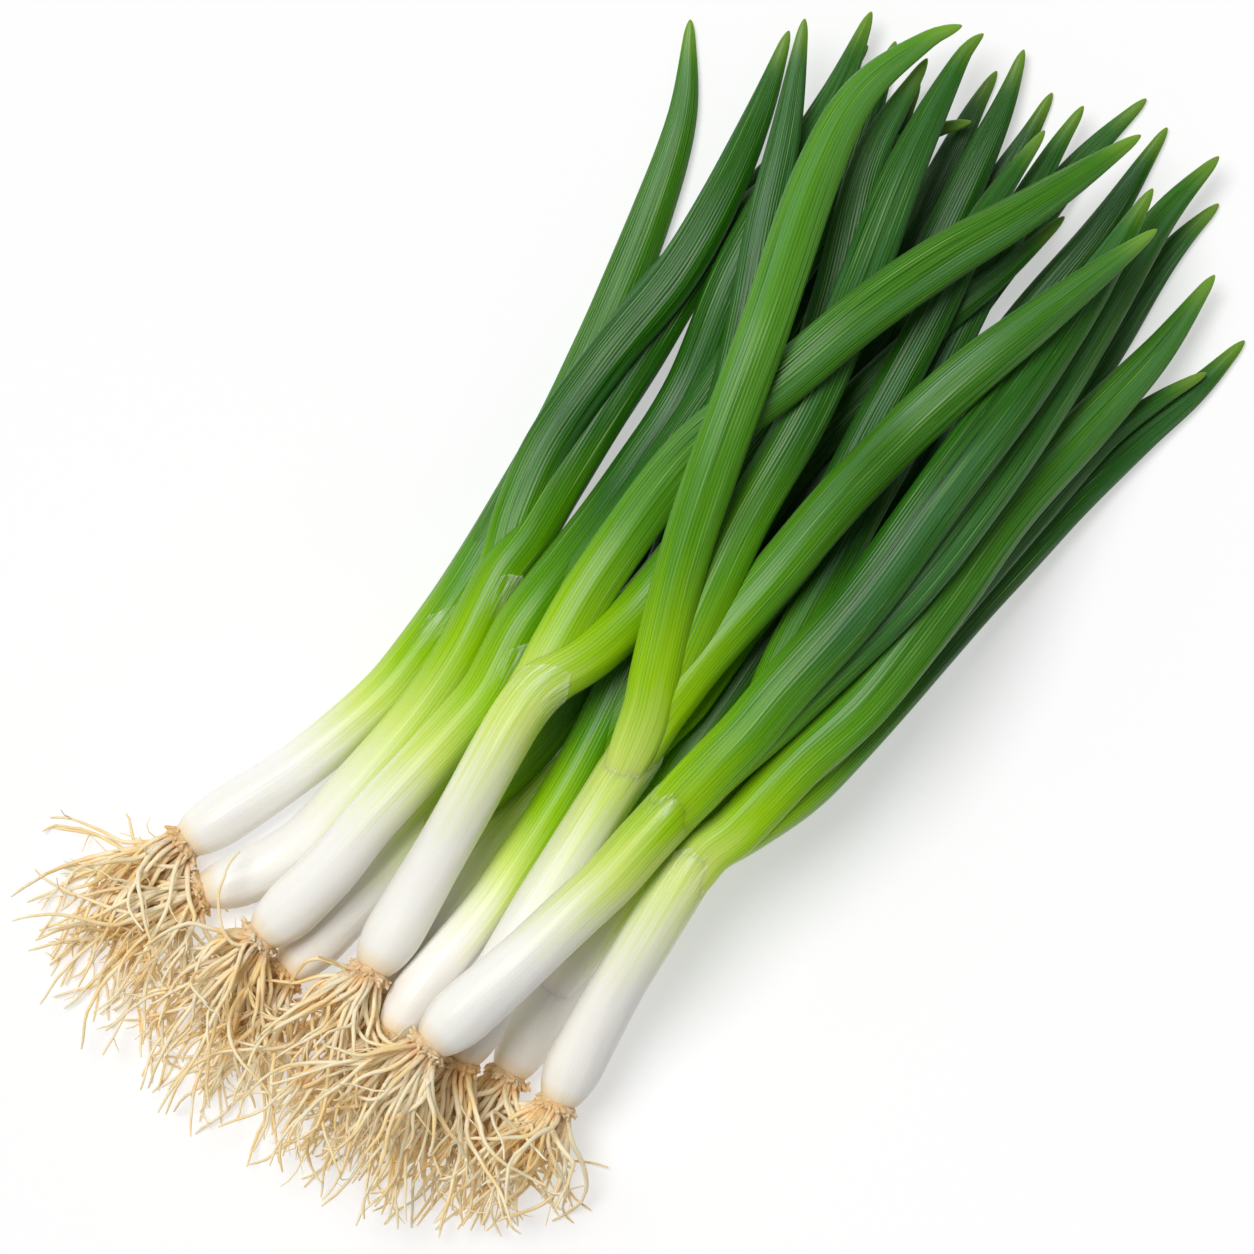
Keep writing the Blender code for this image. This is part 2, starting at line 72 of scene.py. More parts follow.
# The plan and the sections are those of the CAD source, but for a slimmer shank end, which comes
# from BASE_FULLNESS, and a blunter leaf tip, which comes from TIP_WIDTH
PLAN_UNIT = 0.00025
BUNCH_TURN = math.radians(51.2)

BULB_WIDTH = 0.0142
SHANK_WIDTH = 0.0128
LEAF_WIDTH = 0.0118
BULB_END = 0.008
BULB_LENGTH = 0.030
BASE_ROUNDING = 0.0120
BASE_FULLNESS = 0.78
BASE_PLATE_WIDTH = 0.0086
NECK_LENGTH = 0.045
LEAF_FLATNESS = 0.56
LEAF_ROOT_FLATNESS = 0.85
LEAF_ROOT_SHARE = 0.55
SISTER_SHARE_STEP = 0.05
SHEATH_SAMPLES = (8, 5, 2)
LEAF_SPREAD_LENGTH = 0.032
TIP_LENGTH = 0.078
TIP_WIDTH = 0.0019
TIP_FULLNESS = 2.3

CURVE_SAMPLES = 24
SAMPLE_STEP = 0.003
CLEARANCE = 0.0006
FLOOR_PRESS = 0.0004
SISTER_ROOM = 0.8
SHANK_SAG = 0.00006
LEAF_SAG = 0.000025
SETTLE_ROUNDS = 6000
BEND_LENGTH = 0.012
ROOT_PLATE_LENGTH = 0.0042
ROOT_PLATE_GAP = 0.0004

# A shoot with a shank is its onion's stem with one leaf, and every other is a further leaf. Routes
# run from the root end to the tip in plan units, the lowest shoot first.
Shoot = namedtuple("Shoot", "onion width shank route")
Strand = namedtuple("Strand", "shoot share start along plan widths heights levels")
SHOOTS = (
    Shoot("onion_11", 1.0, 0.085, (
        (388, 1000), (420, 945), (455, 893), (495, 845), (535, 800), (580, 750), (672, 640),
        (762, 515), (845, 375), (912, 240), (970, 120), (1000, 66))),
    Shoot("onion_11", 0.9, None, (
        (520, 816), (555, 785), (610, 735), (670, 680), (725, 620), (825, 490), (915, 340),
        (990, 200), (1030, 135), (1056, 88))),
    Shoot("onion_01", 1.0, 0.090, (
        (184, 843), (225, 815), (262, 791), (300, 765), (340, 733), (380, 697), (410, 662),
        (462, 590), (515, 500), (565, 410), (612, 310), (652, 210), (683, 110), (691, 14))),
    Shoot("onion_01", 0.72, None, (
        (425, 640), (458, 600), (480, 560), (500, 520), (560, 420), (620, 330), (665, 272),
        (720, 225), (770, 172), (815, 125), (845, 75), (870, 40))),
    Shoot("onion_04", 1.0, 0.085, (
        (285, 972), (320, 938), (355, 903), (390, 868), (425, 832), (460, 795), (500, 745),
        (590, 615), (690, 470), (775, 335), (830, 230), (868, 120), (898, 36))),
    Shoot("onion_04", 0.85, None, (
        (440, 816), (484, 794), (540, 742), (592, 668), (680, 520), (762, 372), (835, 240),
        (885, 155), (922, 78))),
    Shoot("onion_09", 1.0, 0.085, (
        (508, 1075), (550, 1000), (590, 930), (628, 845), (665, 765), (705, 690), (745, 615),
        (785, 545), (845, 425), (905, 315), (965, 190), (1005, 105), (1027, 45))),
    Shoot("onion_09", 0.9, None, (
        (610, 885), (640, 825), (680, 762), (727, 697), (787, 605), (860, 485), (955, 325),
        (1045, 207), (1095, 148), (1151, 94))),
    Shoot("onion_09", 0.95, None, (
        (592, 925), (630, 862), (686, 792), (750, 722), (822, 635), (875, 560), (925, 485),
        (1010, 345), (1100, 232), (1150, 157), (1172, 123))),
    Shoot("onion_09", 1.05, None, (
        (572, 963), (602, 918), (650, 858), (700, 808), (765, 757), (850, 675), (930, 585),
        (1010, 475), (1085, 377), (1150, 282), (1185, 238), (1224, 200))),
    Shoot("onion_10", 1.05, 0.090, (
        (557, 1102), (585, 1045), (615, 990), (645, 940), (675, 890), (702, 852), (745, 825),
        (800, 787), (848, 740), (890, 695), (930, 650), (995, 578), (1075, 494), (1145, 432),
        (1200, 388), (1250, 338))),
    Shoot("onion_10", 0.75, None, (
        (690, 868), (735, 832), (800, 775), (870, 705), (960, 600), (1030, 520), (1105, 440),
        (1160, 400), (1210, 371))),
    Shoot("onion_10", 1.1, None, (
        (680, 882), (706, 850), (735, 828), (800, 760), (865, 700), (940, 605), (1010, 510),
        (1085, 430), (1160, 350), (1218, 273))),
    Shoot("onion_10", 0.9, None, (
        (690, 868), (708, 838), (726, 795), (752, 735), (785, 655), (850, 535), (920, 405),
        (990, 268), (1050, 160), (1086, 103))),
    Shoot("onion_02", 1.0, 0.105, (
        (202, 893), (235, 882), (270, 865), (305, 840), (340, 803), (375, 765), (410, 725),
        (440, 685), (465, 645), (485, 605), (505, 568), (530, 535), (560, 485), (600, 420),
        (645, 350), (690, 280), (740, 215), (800, 150))),
    Shoot("onion_02", 1.0, None, (
        (480, 615), (498, 575), (508, 545), (518, 510), (550, 440), (610, 355), (675, 275),
        (722, 195), (760, 110), (790, 27))),
    Shoot("onion_03", 1.05, 0.100, (
        (262, 936), (300, 900), (335, 865), (370, 822), (410, 778), (450, 735), (485, 695),
        (505, 658), (525, 622), (575, 555), (640, 465), (690, 385), (735, 275), (790, 175),
        (840, 85), (873, 8))),
    Shoot("onion_03", 0.85, None, (
        (478, 705), (505, 678), (535, 640), (570, 592), (665, 460), (750, 335), (825, 225),
        (880, 160), (930, 131), (973, 119))),
    Shoot("onion_06", 0.92, 0.095, (
        (394, 1032), (420, 990), (455, 948), (490, 905), (515, 868), (540, 830), (565, 790),
        (590, 745), (612, 700), (632, 655), (670, 560), (725, 410), (748, 320), (765, 225),
        (786, 130), (805, 18))),
    Shoot("onion_06", 0.8, None, (
        (560, 798), (590, 755), (625, 700), (670, 635), (720, 570), (820, 440), (925, 335),
        (1000, 275), (1065, 216))),
    Shoot("onion_05", 1.05, 0.092, (
        (372, 968), (395, 930), (420, 888), (445, 845), (470, 800), (495, 755), (520, 712),
        (545, 682), (585, 657), (620, 628), (655, 590), (725, 500), (795, 410), (835, 300),
        (870, 160), (928, 57))),
    Shoot("onion_07", 1.05, 0.105, (
        (462, 1058), (485, 1005), (515, 948), (540, 905), (565, 865), (590, 825), (615, 785),
        (640, 745), (665, 695), (690, 640), (740, 530), (810, 405), (858, 290), (905, 170),
        (960, 60), (984, 33))),
    Shoot("onion_07", 0.9, None, (
        (632, 758), (662, 728), (690, 700), (745, 622), (810, 540), (880, 412), (930, 320),
        (985, 215), (1045, 130))),
    Shoot("onion_08", 1.1, 0.100, (
        (432, 1040), (470, 1005), (510, 970), (545, 938), (580, 905), (612, 875), (645, 838),
        (680, 800), (715, 765), (790, 700), (890, 605), (975, 500), (1045, 400), (1105, 305),
        (1165, 215), (1222, 154))),
    Shoot("onion_08", 1.2, None, (
        (678, 802), (712, 766), (745, 732), (780, 690), (860, 600), (940, 490), (1020, 385),
        (1095, 280), (1151, 190))),
    Shoot("onion_07", 1.1, None, (
        (632, 758), (654, 722), (676, 692), (705, 655), (775, 575), (850, 487), (945, 395),
        (1035, 322), (1152, 233))),
    Shoot("onion_05", 1.12, None, (
        (518, 715), (540, 680), (560, 642), (605, 567), (690, 455), (780, 385), (860, 318),
        (940, 262), (1020, 215), (1140, 136))),
    Shoot("onion_07", 1.1, None, (
        (632, 758), (646, 715), (656, 670), (680, 570), (712, 470), (765, 325), (815, 180),
        (860, 95), (925, 42), (962, 26))),
)

# How early each onion turns green along its length, 1 for the usual place
GREENING = {
    "onion_01": 1.24, "onion_02": 1.00, "onion_03": 1.09, "onion_04": 1.15,
    "onion_05": 0.95, "onion_06": 1.30, "onion_07": 0.87, "onion_08": 1.05,
    "onion_09": 1.25, "onion_10": 1.02, "onion_11": 1.20,
}

# How much darker, or paler if negative, an onion's leaves are than the painted shade of their layer
SHADES = {
    "onion_01": -1.00, "onion_02": -0.60, "onion_08": 0.25, "onion_09": -0.50,
    "onion_10": -0.80,
}

# A papery collar: the onion whose stem it wraps, where it starts and how long it is, the way it
# faces from straight up towards the right of the stem, how far round it goes, and how far its
# free edge stands off
Collar = namedtuple("Collar", "onion place length facing sweep flare")
COLLARS = (
    Collar("onion_01", 0.074, 0.018, 30.0, 120.0, 0.0001),
    Collar("onion_02", 0.098, 0.018, 45.0, 95.0, 0.0001),
    Collar("onion_03", 0.082, 0.018, 50.0, 110.0, 0.0001),
    Collar("onion_05", 0.066, 0.024, 15.0, 160.0, 0.0002),
    Collar("onion_07", 0.070, 0.026, 25.0, 140.0, 0.0001),
    Collar("onion_08", 0.074, 0.016, -40.0, 80.0, 0.0001),
    Collar("onion_10", 0.052, 0.024, 10.0, 130.0, 0.0001),
    Collar("onion_11", 0.066, 0.016, 0.0, 140.0, 0.0003),
)


def tone(red, green, blue):
    """The linear colour of one given as 0 to 255 on a screen."""
    shares = (channel / 255.0 for channel in (red, green, blue))
    return tuple(
        share / 12.92 if share <= 0.04045 else ((share + 0.055) / 1.055) ** 2.4
        for share in shares
    )


# Settings that a user would change

def colour_property(name, description, default):
    return FloatVectorProperty(
        name=name, description=description, default=default, subtype="COLOR", min=0.0, max=1.0)


def count_property(name, description, default, least):
    return IntProperty(name=name, description=description, default=default, min=least)


def number_property(name, description, default, **kind):
    return FloatProperty(name=name, description=description, default=default, min=0.0, **kind)


def length_property(name, description, default):
    return number_property(name, description, default, unit="LENGTH")


def angle_property(name, description, degrees):
    return number_property(name, description, math.radians(degrees), subtype="ANGLE")


class ShootSettings(bpy.types.PropertyGroup):
    """Sizes and colours of the stems and leaves."""

    sides: count_property("Sides", "Faces round each stem and leaf", 44, 8)
    ring_step: length_property("Ring step", "Distance between the rings of a shoot", 0.0025)
    keel: length_property("Keel", "Height of the soft fold along a leaf", 0.00035)
    vein_count: count_property("Veins", "Lengthwise veins round a leaf", 44, 8)
    base: colour_property("Base", "The shank just above the roots", tone(242, 224, 190))
    white: colour_property("Shank", "The white of the shank", tone(248, 246, 240))
    cream: colour_property("Pale", "Where the shank starts to turn green", tone(239, 242, 212))
    pale: colour_property("Yellow-green", "The upper shank", tone(212, 230, 118))
    lime: colour_property("Lime", "The neck below the leaves", tone(160, 204, 8))
    fresh: colour_property("Fresh green", "The lower part of a leaf", tone(94, 158, 6))
    deep: colour_property("Deep green", "The upper part of a leaf", tone(37, 101, 6))
    # The bloom colour is the leaves' wax and also a painted sheen in place of their bluish
    # highlights
    bloom_and_sheen: colour_property("Bloom", "The bluish wax on the leaves", tone(120, 172, 132))
    # The dark and pale greens are leaf tones that also paint shade on the low leaves of the pile
    # and light on the top ones
    dark_and_shaded_green: colour_property("Cool green", "The darker leaves", tone(18, 70, 15))
    pale_and_lit_green: colour_property("Warm green", "The paler leaves", tone(102, 166, 40))
    streak: colour_property("Streak", "The pale lines between the veins", tone(158, 204, 112))
    tip: colour_property("Tip", "The yellowed end of a leaf", tone(150, 184, 66))
    withered: colour_property("Withered tip", "The dry point of a leaf", tone(150, 112, 62))


class RootSettings(bpy.types.PropertyGroup):
    """Sizes and colours of the roots."""

    count: count_property("Roots", "Roots in a tuft", 58, 4)
    joints: count_property("Joints", "Points along a root", 21, 5)
    width: length_property("Width", "Width of a root where it leaves the plate", 0.00138)
    tip_width: length_property("Tip width", "Width of a root near its end", 0.00060)
    shortest: length_property("Shortest", "The shortest root", 0.024)
    longest: length_property("Longest", "The longest root", 0.053)
    rootlets: count_property("Rootlets", "Most side rootlets on one root", 2, 0)
    rootlet_width: length_property("Rootlet width", "Width of a side rootlet", 0.00042)
    pale: colour_property("Pale", "The lit colour of the roots", tone(255, 238, 204))
    straw: colour_property("Straw", "The usual colour of the roots", tone(252, 219, 160))
    brown: colour_property("Brown", "The shaded crust near the plate", tone(208, 150, 76))


class CollarSettings(bpy.types.PropertyGroup):
    """Sizes and colours of the papery collars."""

    thickness: length_property("Thickness", "Thickness of the papery skin", 0.00006)
    gap: length_property("Gap", "How far the skin stands off the shoot", 0.00016)
    cover: number_property("Cover", "How opaque the skin is", 0.24, max=1.0, subtype="FACTOR")
    skin: colour_property("Skin", "The papery skin", tone(232, 236, 206))


class StudioSettings(bpy.types.PropertyGroup):
    """The floor, the lights and the camera."""

    camera_height: length_property("Camera height", "Distance of the camera above the floor", 2.2)
    focus_level: length_property("Plan level", "Height at which the plan is true to scale", 0.020)
    key_strength: number_property("Key", "Strength of the soft key light", 2.46)
    key_height: angle_property("Key height", "Angle of the key light above the floor", 66.0)
    key_size: angle_property("Key size", "Angle that the key light fills", 31.0)
    ambient: number_property("Ambient", "Strength of the light from all round", 0.23)
    floor_glow: number_property("Floor glow", "The floor's own light, for a clean white", 0.50)


# The lie of the shoots, worked out as the CAD source does

def ease(share):
    """A smooth step from 0 to 1."""
    share = np.clip(share, 0.0, 1.0)
    return share * share * (3.0 - 2.0 * share)


def plan_points(route):
    """A route's points in metres, turned so that the bunch lies along +X."""
    right, down = np.array(route).T * PLAN_UNIT
    cosine = math.cos(BUNCH_TURN)
    sine = math.sin(BUNCH_TURN)
    return np.column_stack((right * cosine - down * sine, -down * cosine - right * sine))


def smooth_route(points):
    """Evenly spaced samples of one smooth curve through the points."""
    ends = (2.0 * points[0] - points[1], 2.0 * points[-1] - points[-2])
    knots = np.vstack((ends[0], points, ends[1]))
    pieces = []
    share = np.linspace(0.0, 1.0, CURVE_SAMPLES, endpoint=False)[:, None]
    for before, start, end, after in zip(knots, knots[1:], knots[2:], knots[3:]):
        pieces.append(0.5 * (
            2.0 * start
            + (end - before) * share
            + (2.0 * before - 5.0 * start + 4.0 * end - after) * share ** 2
            + (3.0 * start - before - 3.0 * end + after) * share ** 3
        ))
    dense = np.vstack(pieces + [points[-1:]])
    steps = np.linalg.norm(np.diff(dense, axis=0), axis=1)
    distance = np.concatenate(([0.0], np.cumsum(steps)))
    count = int(round(distance[-1] / SAMPLE_STEP)) + 1
    along = np.linspace(0.0, distance[-1], count)
    plan = np.column_stack([np.interp(along, distance, dense[:, axis]) for axis in (0, 1)])
    return along, plan


def tip_taper(along, length):
    """1 along a leaf, falling in a slender point to 0 at its tip."""
    share = np.clip((length - along) / TIP_LENGTH, 0.0, 1.0)
    return 1.0 - (1.0 - share) ** TIP_FULLNESS


def stem_widths(along, length, shoot):
    """Width along a stem: rounded base, bulb, shank, then its leaf."""
    leaf = LEAF_WIDTH * shoot.width
    shank = SHANK_WIDTH * shoot.width
    bulb = BULB_WIDTH * shoot.width
    widths = shank + (bulb - shank) * (1.0 - ease((along - BULB_END) / BULB_LENGTH))
    widths = widths + (leaf - widths) * ease((along - shoot.shank) / NECK_LENGTH)
    rounding = (1.0 - (1.0 - np.clip(along / BASE_ROUNDING, 0.0, 1.0)) ** 2) ** BASE_FULLNESS
    widths = BASE_PLATE_WIDTH + (widths - BASE_PLATE_WIDTH) * rounding
    return TIP_WIDTH + (widths - TIP_WIDTH) * tip_taper(along, length)


def leaf_widths(along, length, shoot, share):
    """Width along a further leaf, which starts inside the stem at a share of its full width."""
    leaf = LEAF_WIDTH * shoot.width
    grown = share + (1.0 - share) * ease(along / LEAF_SPREAD_LENGTH)
    return TIP_WIDTH + (leaf * grown - TIP_WIDTH) * tip_taper(along, length)


def strand_widths(strand, places):
    """A laid strand's width at any distances along it."""
    if strand.shoot.shank is None:
        return leaf_widths(places, strand.along[-1], strand.shoot, strand.share)
    return stem_widths(places, strand.along[-1], strand.shoot)


def flatness(along, shoot):
    """Height over width: round on the shank, flatter on a leaf."""
    if shoot.shank is None:
        grown = ease(along / LEAF_SPREAD_LENGTH)
        return LEAF_ROOT_FLATNESS + (LEAF_FLATNESS - LEAF_ROOT_FLATNESS) * grown
    return 1.0 + (LEAF_FLATNESS - 1.0) * ease((along - shoot.shank) / NECK_LENGTH)


def lowest_levels(along, plan, widths, heights, shoot, laid):
    """The least centre height at each sample: above the floor and above every laid strand."""
    levels = heights / 2.0 - FLOOR_PRESS
    for other in laid:
        gaps = np.linalg.norm(plan[:, None, :] - other.plan[None, :, :], axis=2)
        reach = (widths[:, None] + other.widths[None, :]) / 2.0 + CLEARANCE
        rise = (heights[:, None] + other.heights[None, :]) / 2.0 + CLEARANCE
        if other.shoot.onion == shoot.onion:
            free = along - SHEATH_SAMPLES[0] * SAMPLE_STEP
            parted = SISTER_ROOM * ease(free / (2.0 * LEAF_SPREAD_LENGTH))[:, None]
            reach = reach * parted + 1e-9
            rise = rise * parted
        over = np.sqrt(np.clip(1.0 - (gaps / reach) ** 2, 0.0, None)) * rise
        needed = np.where(gaps < reach, other.levels[None, :] + over, -1.0)
        levels = np.maximum(levels, needed.max(axis=1))
    return levels


def settle(lowest, sag, start):
    """A taut line over the levels that must be cleared, with its bends rounded."""
    levels = lowest.copy()
    for _ in range(SETTLE_ROUNDS):
        inner = 0.5 * (levels[:-2] + levels[2:]) - sag[1:-1]
        levels[1:-1] = np.maximum(lowest[1:-1], inner)
        levels[0] = max(lowest[0], levels[1]) if start is None else start
        levels[-1] = max(lowest[-1], levels[-2] - sag[-1])
    reach = int(round(BEND_LENGTH / SAMPLE_STEP))
    padded = np.pad(levels, reach, mode="edge")
    windows = np.lib.stride_tricks.sliding_window_view(padded, 2 * reach + 1)
    raised = np.pad(windows.max(axis=1), reach, mode="edge")
    weights = np.hanning(2 * reach + 3)[1:-1]
    windows = np.lib.stride_tricks.sliding_window_view(raised, 2 * reach + 1)
    rounded = windows @ (weights / weights.sum())
    if start is None:
        return rounded
    blend = ease(np.arange(len(levels)) / (2.0 * reach))
    return start + (rounded - start) * blend


def lay_stem(shoot, laid):
    """Lays a stem on the strands before it."""
    along, plan = smooth_route(plan_points(shoot.route))
    widths = stem_widths(along, along[-1], shoot)
    heights = widths * flatness(along, shoot)
    lowest = lowest_levels(along, plan, widths, heights, shoot, laid)
    sag = SHANK_SAG + (LEAF_SAG - SHANK_SAG) * ease(along / shoot.shank)
    levels = settle(lowest, sag, None)
    return Strand(shoot, 1.0, 0.0, along, plan, widths, heights, levels)


def lay_leaf(shoot, laid):
    """Lays a further leaf, which runs up inside its stem before it parts from it."""
    stem, *sisters = [strand for strand in laid if strand.shoot.onion == shoot.onion]
    points = plan_points(shoot.route)
    parting = int(np.argmin(np.linalg.norm(stem.plan - points[0], axis=1)))
    inside = [stem.plan[parting - samples] for samples in SHEATH_SAMPLES]
    along, plan = smooth_route(np.vstack((inside, points[1:])))
    share = LEAF_ROOT_SHARE - SISTER_SHARE_STEP * len(sisters)
    widths = leaf_widths(along, along[-1], shoot, share)
    heights = widths * flatness(along, shoot)
    lowest = lowest_levels(along, plan, widths, heights, shoot, laid)
    first = parting - SHEATH_SAMPLES[0]
    sheath = stem.levels[first:parting]
    lowest[:len(sheath)] = sheath
    levels = settle(lowest, np.full(len(along), LEAF_SAG), sheath[0])
    return Strand(shoot, share, stem.along[first], along, plan, widths, heights, levels)


def lay_down(shoots):
    """Lays each shoot on those before it and returns them with their heights."""
    laid = []
    for shoot in shoots:
        lay = lay_leaf if shoot.shank is None else lay_stem
        laid.append(lay(shoot, laid))
    return laid


def frame_shift(laid):
    """From the routes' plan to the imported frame, read off the leaf tip furthest along +X."""
    node = max(laid, key=lambda strand: strand.plan[-1][0]).shoot.onion
    tip = max(tuple(strand.plan[-1]) for strand in laid if strand.shoot.onion == node)
    packed = max((vertex.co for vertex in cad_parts[node].data.vertices), key=lambda co: co.x)
    return np.array((packed.x - tip[0], packed.y - tip[1]))


@functools.cache
def bunch():
    """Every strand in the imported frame, and the shift that put it there."""
    laid = lay_down(SHOOTS)
    shift = frame_shift(laid)
    return [strand._replace(plan=strand.plan + shift) for strand in laid], shift


def onion_names():
    return sorted({shoot.onion for shoot in SHOOTS})


def strands_of(onion):
    return [strand for strand in bunch()[0] if strand.shoot.onion == onion]


# Shared modelling steps

def deselect_all():
    if bpy.context.mode != "OBJECT":
        bpy.ops.object.mode_set(mode="OBJECT")
    bpy.ops.object.select_all(action="DESELECT")


def activate(piece):
    deselect_all()
    piece.select_set(True)
    bpy.context.view_layer.objects.active = piece


def join(name, pieces):
    """Makes one piece of several."""
    activate(pieces[0])
    for piece in pieces[1:]:
        piece.select_set(True)
    bpy.ops.object.join()
    pieces[0].name = name
    pieces[0].data.name = name
    return pieces[0]


def any_turn(rng):
    return rng.uniform(0.0, 2.0 * math.pi)


def scatter(rng, size):
    """A random vector whose three parts spread by a size."""
    return Vector([rng.gauss(0.0, size) for _ in range(3)])


def vertex_places(piece):
    places = np.empty(len(piece.data.vertices) * 3)
    piece.data.vertices.foreach_get("co", places)
    return places.reshape(-1, 3)


def add_grid(name, columns, rows):
    """A flat grid, and each vertex's share across it and along it."""
    deselect_all()
    bpy.ops.mesh.primitive_grid_add(x_subdivisions=columns, y_subdivisions=rows, size=1.0)
    piece = bpy.context.active_object
    piece.name = name
    piece.data.name = name
    flat = vertex_places(piece)
    return piece, flat[:, 0] + 0.5, flat[:, 1] + 0.5


def place_vertices(piece, points):
    piece.data.vertices.foreach_set("co", points.astype(np.float32).ravel())
    piece.data.update()


def set_vectors(piece, name, values):
    """Stores a vector at each vertex for the materials to read."""
    attribute = piece.data.attributes.new(name, "FLOAT_VECTOR", "POINT")
    attribute.data.foreach_set("vector", values.astype(np.float32).ravel())


def close_seams(piece):
    """Merges the seam and the poles of a rolled grid and points its faces outwards."""
    activate(piece)
    bpy.ops.object.mode_set(mode="EDIT")
    bpy.ops.mesh.select_all(action="SELECT")
    bpy.ops.mesh.remove_doubles(threshold=1e-6)
    bpy.ops.mesh.normals_make_consistent(inside=False)
    bpy.ops.object.mode_set(mode="OBJECT")
    bpy.ops.object.shade_smooth()


def dress(piece, node):
    """Hands a finished piece over to the frame, in place of its CAD node if it has one."""
    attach(piece, BODY)
    if node:
        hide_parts(node)


# Shader maths

def maths_method(operation, reflected=False):
    """What an operator between a value and another one, or a number, does."""
    def method(self, other):
        pair = (other, self) if reflected else (self, other)
        return self.finish.maths(operation, *pair)
    return method


class Value:
    """A number in a material, on which the usual operators add Math nodes."""

    def __init__(self, finish, socket):
        self.finish = finish
        self.socket = socket

    __add__ = maths_method("ADD")
    __radd__ = maths_method("ADD", reflected=True)
    __sub__ = maths_method("SUBTRACT")
    __rsub__ = maths_method("SUBTRACT", reflected=True)
    __mul__ = maths_method("MULTIPLY")
    __rmul__ = maths_method("MULTIPLY", reflected=True)
    __truediv__ = maths_method("DIVIDE")
    __rtruediv__ = maths_method("DIVIDE", reflected=True)


class Finish:
    """A material under construction."""

    def __init__(self, name):
        self.material = bpy.data.materials.new(name)
        self.material.use_nodes = True
        self.tree = self.material.node_tree
        self.tree.nodes.clear()
        self.output = self.tree.nodes.new("ShaderNodeOutputMaterial")

    def add(self, kind, settings=None, **inputs):
        """Adds a node, sets it up, and then sets or links its sockets."""
        node = self.tree.nodes.new(kind)
        for name, value in (settings or {}).items():
            if name == "stops":
                self.set_stops(node.color_ramp, value)
            else:
                setattr(node, name, value)
        for name, value in inputs.items():
            socket = node.inputs[int(name[1:])] if name[1:].isdigit() else node.inputs[
                name.replace("_", " ")]
            self.feed(socket, value)
        return node

    def set_stops(self, ramp, stops):
        while len(ramp.elements) < len(stops):
            ramp.elements.new(1.0)
        for element, (position, colour) in zip(ramp.elements, stops):
            element.position = position
            element.color = (*colour, 1.0)

    def feed(self, socket, value):
        source = getattr(value, "socket", value)
        if isinstance(source, bpy.types.NodeSocket):
            self.tree.links.new(source, socket)
        elif socket.type == "RGBA":
            socket.default_value = (*source, 1.0)[:4]
        else:
            socket.default_value = source

    def maths(self, operation, *values):
        node = self.tree.nodes.new("ShaderNodeMath")
        node.operation = operation
        for socket, value in zip(node.inputs, values):
            self.feed(socket, value)
        return Value(self, node.outputs[0])

    def attribute(self, name):
        return self.add("ShaderNodeAttribute", {"attribute_name": name}).outputs["Vector"]

    def parts(self, vector):
        node = self.add("ShaderNodeSeparateXYZ", Vector=vector)
        return [Value(self, output) for output in node.outputs]

    def grain(self, vector, scale, detail, roughness=0.55):
        """Noise from 0 to 1 over a vector."""
        node = self.add(
            "ShaderNodeTexNoise", Vector=vector, Scale=scale, Detail=detail, Roughness=roughness)
        return Value(self, node.outputs["Fac"])

    def fibres(self, skin, across, along, detail=2.0):
        """Noise over a shoot's skin, on scales of its own across the shoot and along it."""
        node = self.add(
            "ShaderNodeVectorMath", {"operation": "MULTIPLY"}, _0=skin, _1=(across, across, along))
        return self.grain(node.outputs[0], 1.0, detail)

    def span(self, value, low, high):
        """0 at low and 1 at high, with a soft step between them."""
        node = self.add(
            "ShaderNodeMapRange", {"interpolation_type": "SMOOTHSTEP"},
            Value=value, From_Min=low, From_Max=high, To_Min=0.0, To_Max=1.0)
        return Value(self, node.outputs["Result"])

    def mix(self, share, first, second, blend="MIX"):
        """Two colours mixed by a share."""
        node = self.add(
            "ShaderNodeMix", {"data_type": "RGBA", "blend_type": blend},
            _0=share, _6=first, _7=second)
        return node.outputs[2]

    def ramp(self, value, stops):
        return self.add("ShaderNodeValToRGB", {"stops": stops}, Fac=value).outputs["Color"]

    def bump(self, height, distance, strength):
        node = self.add(
            "ShaderNodeBump", Height=height, Distance=distance, Strength=strength)
        return node.outputs["Normal"]

    def surface(self, **inputs):
        shader = self.add("ShaderNodeBsdfPrincipled", None, **inputs)
        self.tree.links.new(shader.outputs[0], self.output.inputs["Surface"])


# Finishes

# Distances from the roots: where the ramp of greens ends, where a shoot turns green and where its
# leaf is full-grown, and from the tip, where its lines fade
GREEN_REACH = 0.30
GREEN_SPAN = (0.040, 0.100)
LEAF_SPAN = (0.095, 0.165)
CALM_SPAN = (0.002, 0.024)


def shoot_stops(settings):
    """Colour against the distance from the roots, as shares of the ramp's reach."""
    table = (
        (0.000, settings.base), (0.005, settings.white), (0.034, settings.white),
        (0.048, settings.cream), (0.067, settings.pale), (0.088, settings.lime),
        (0.118, settings.fresh), (0.155, settings.deep), (0.300, settings.deep),
    )
    return [(distance / GREEN_REACH, colour) for distance, colour in table]


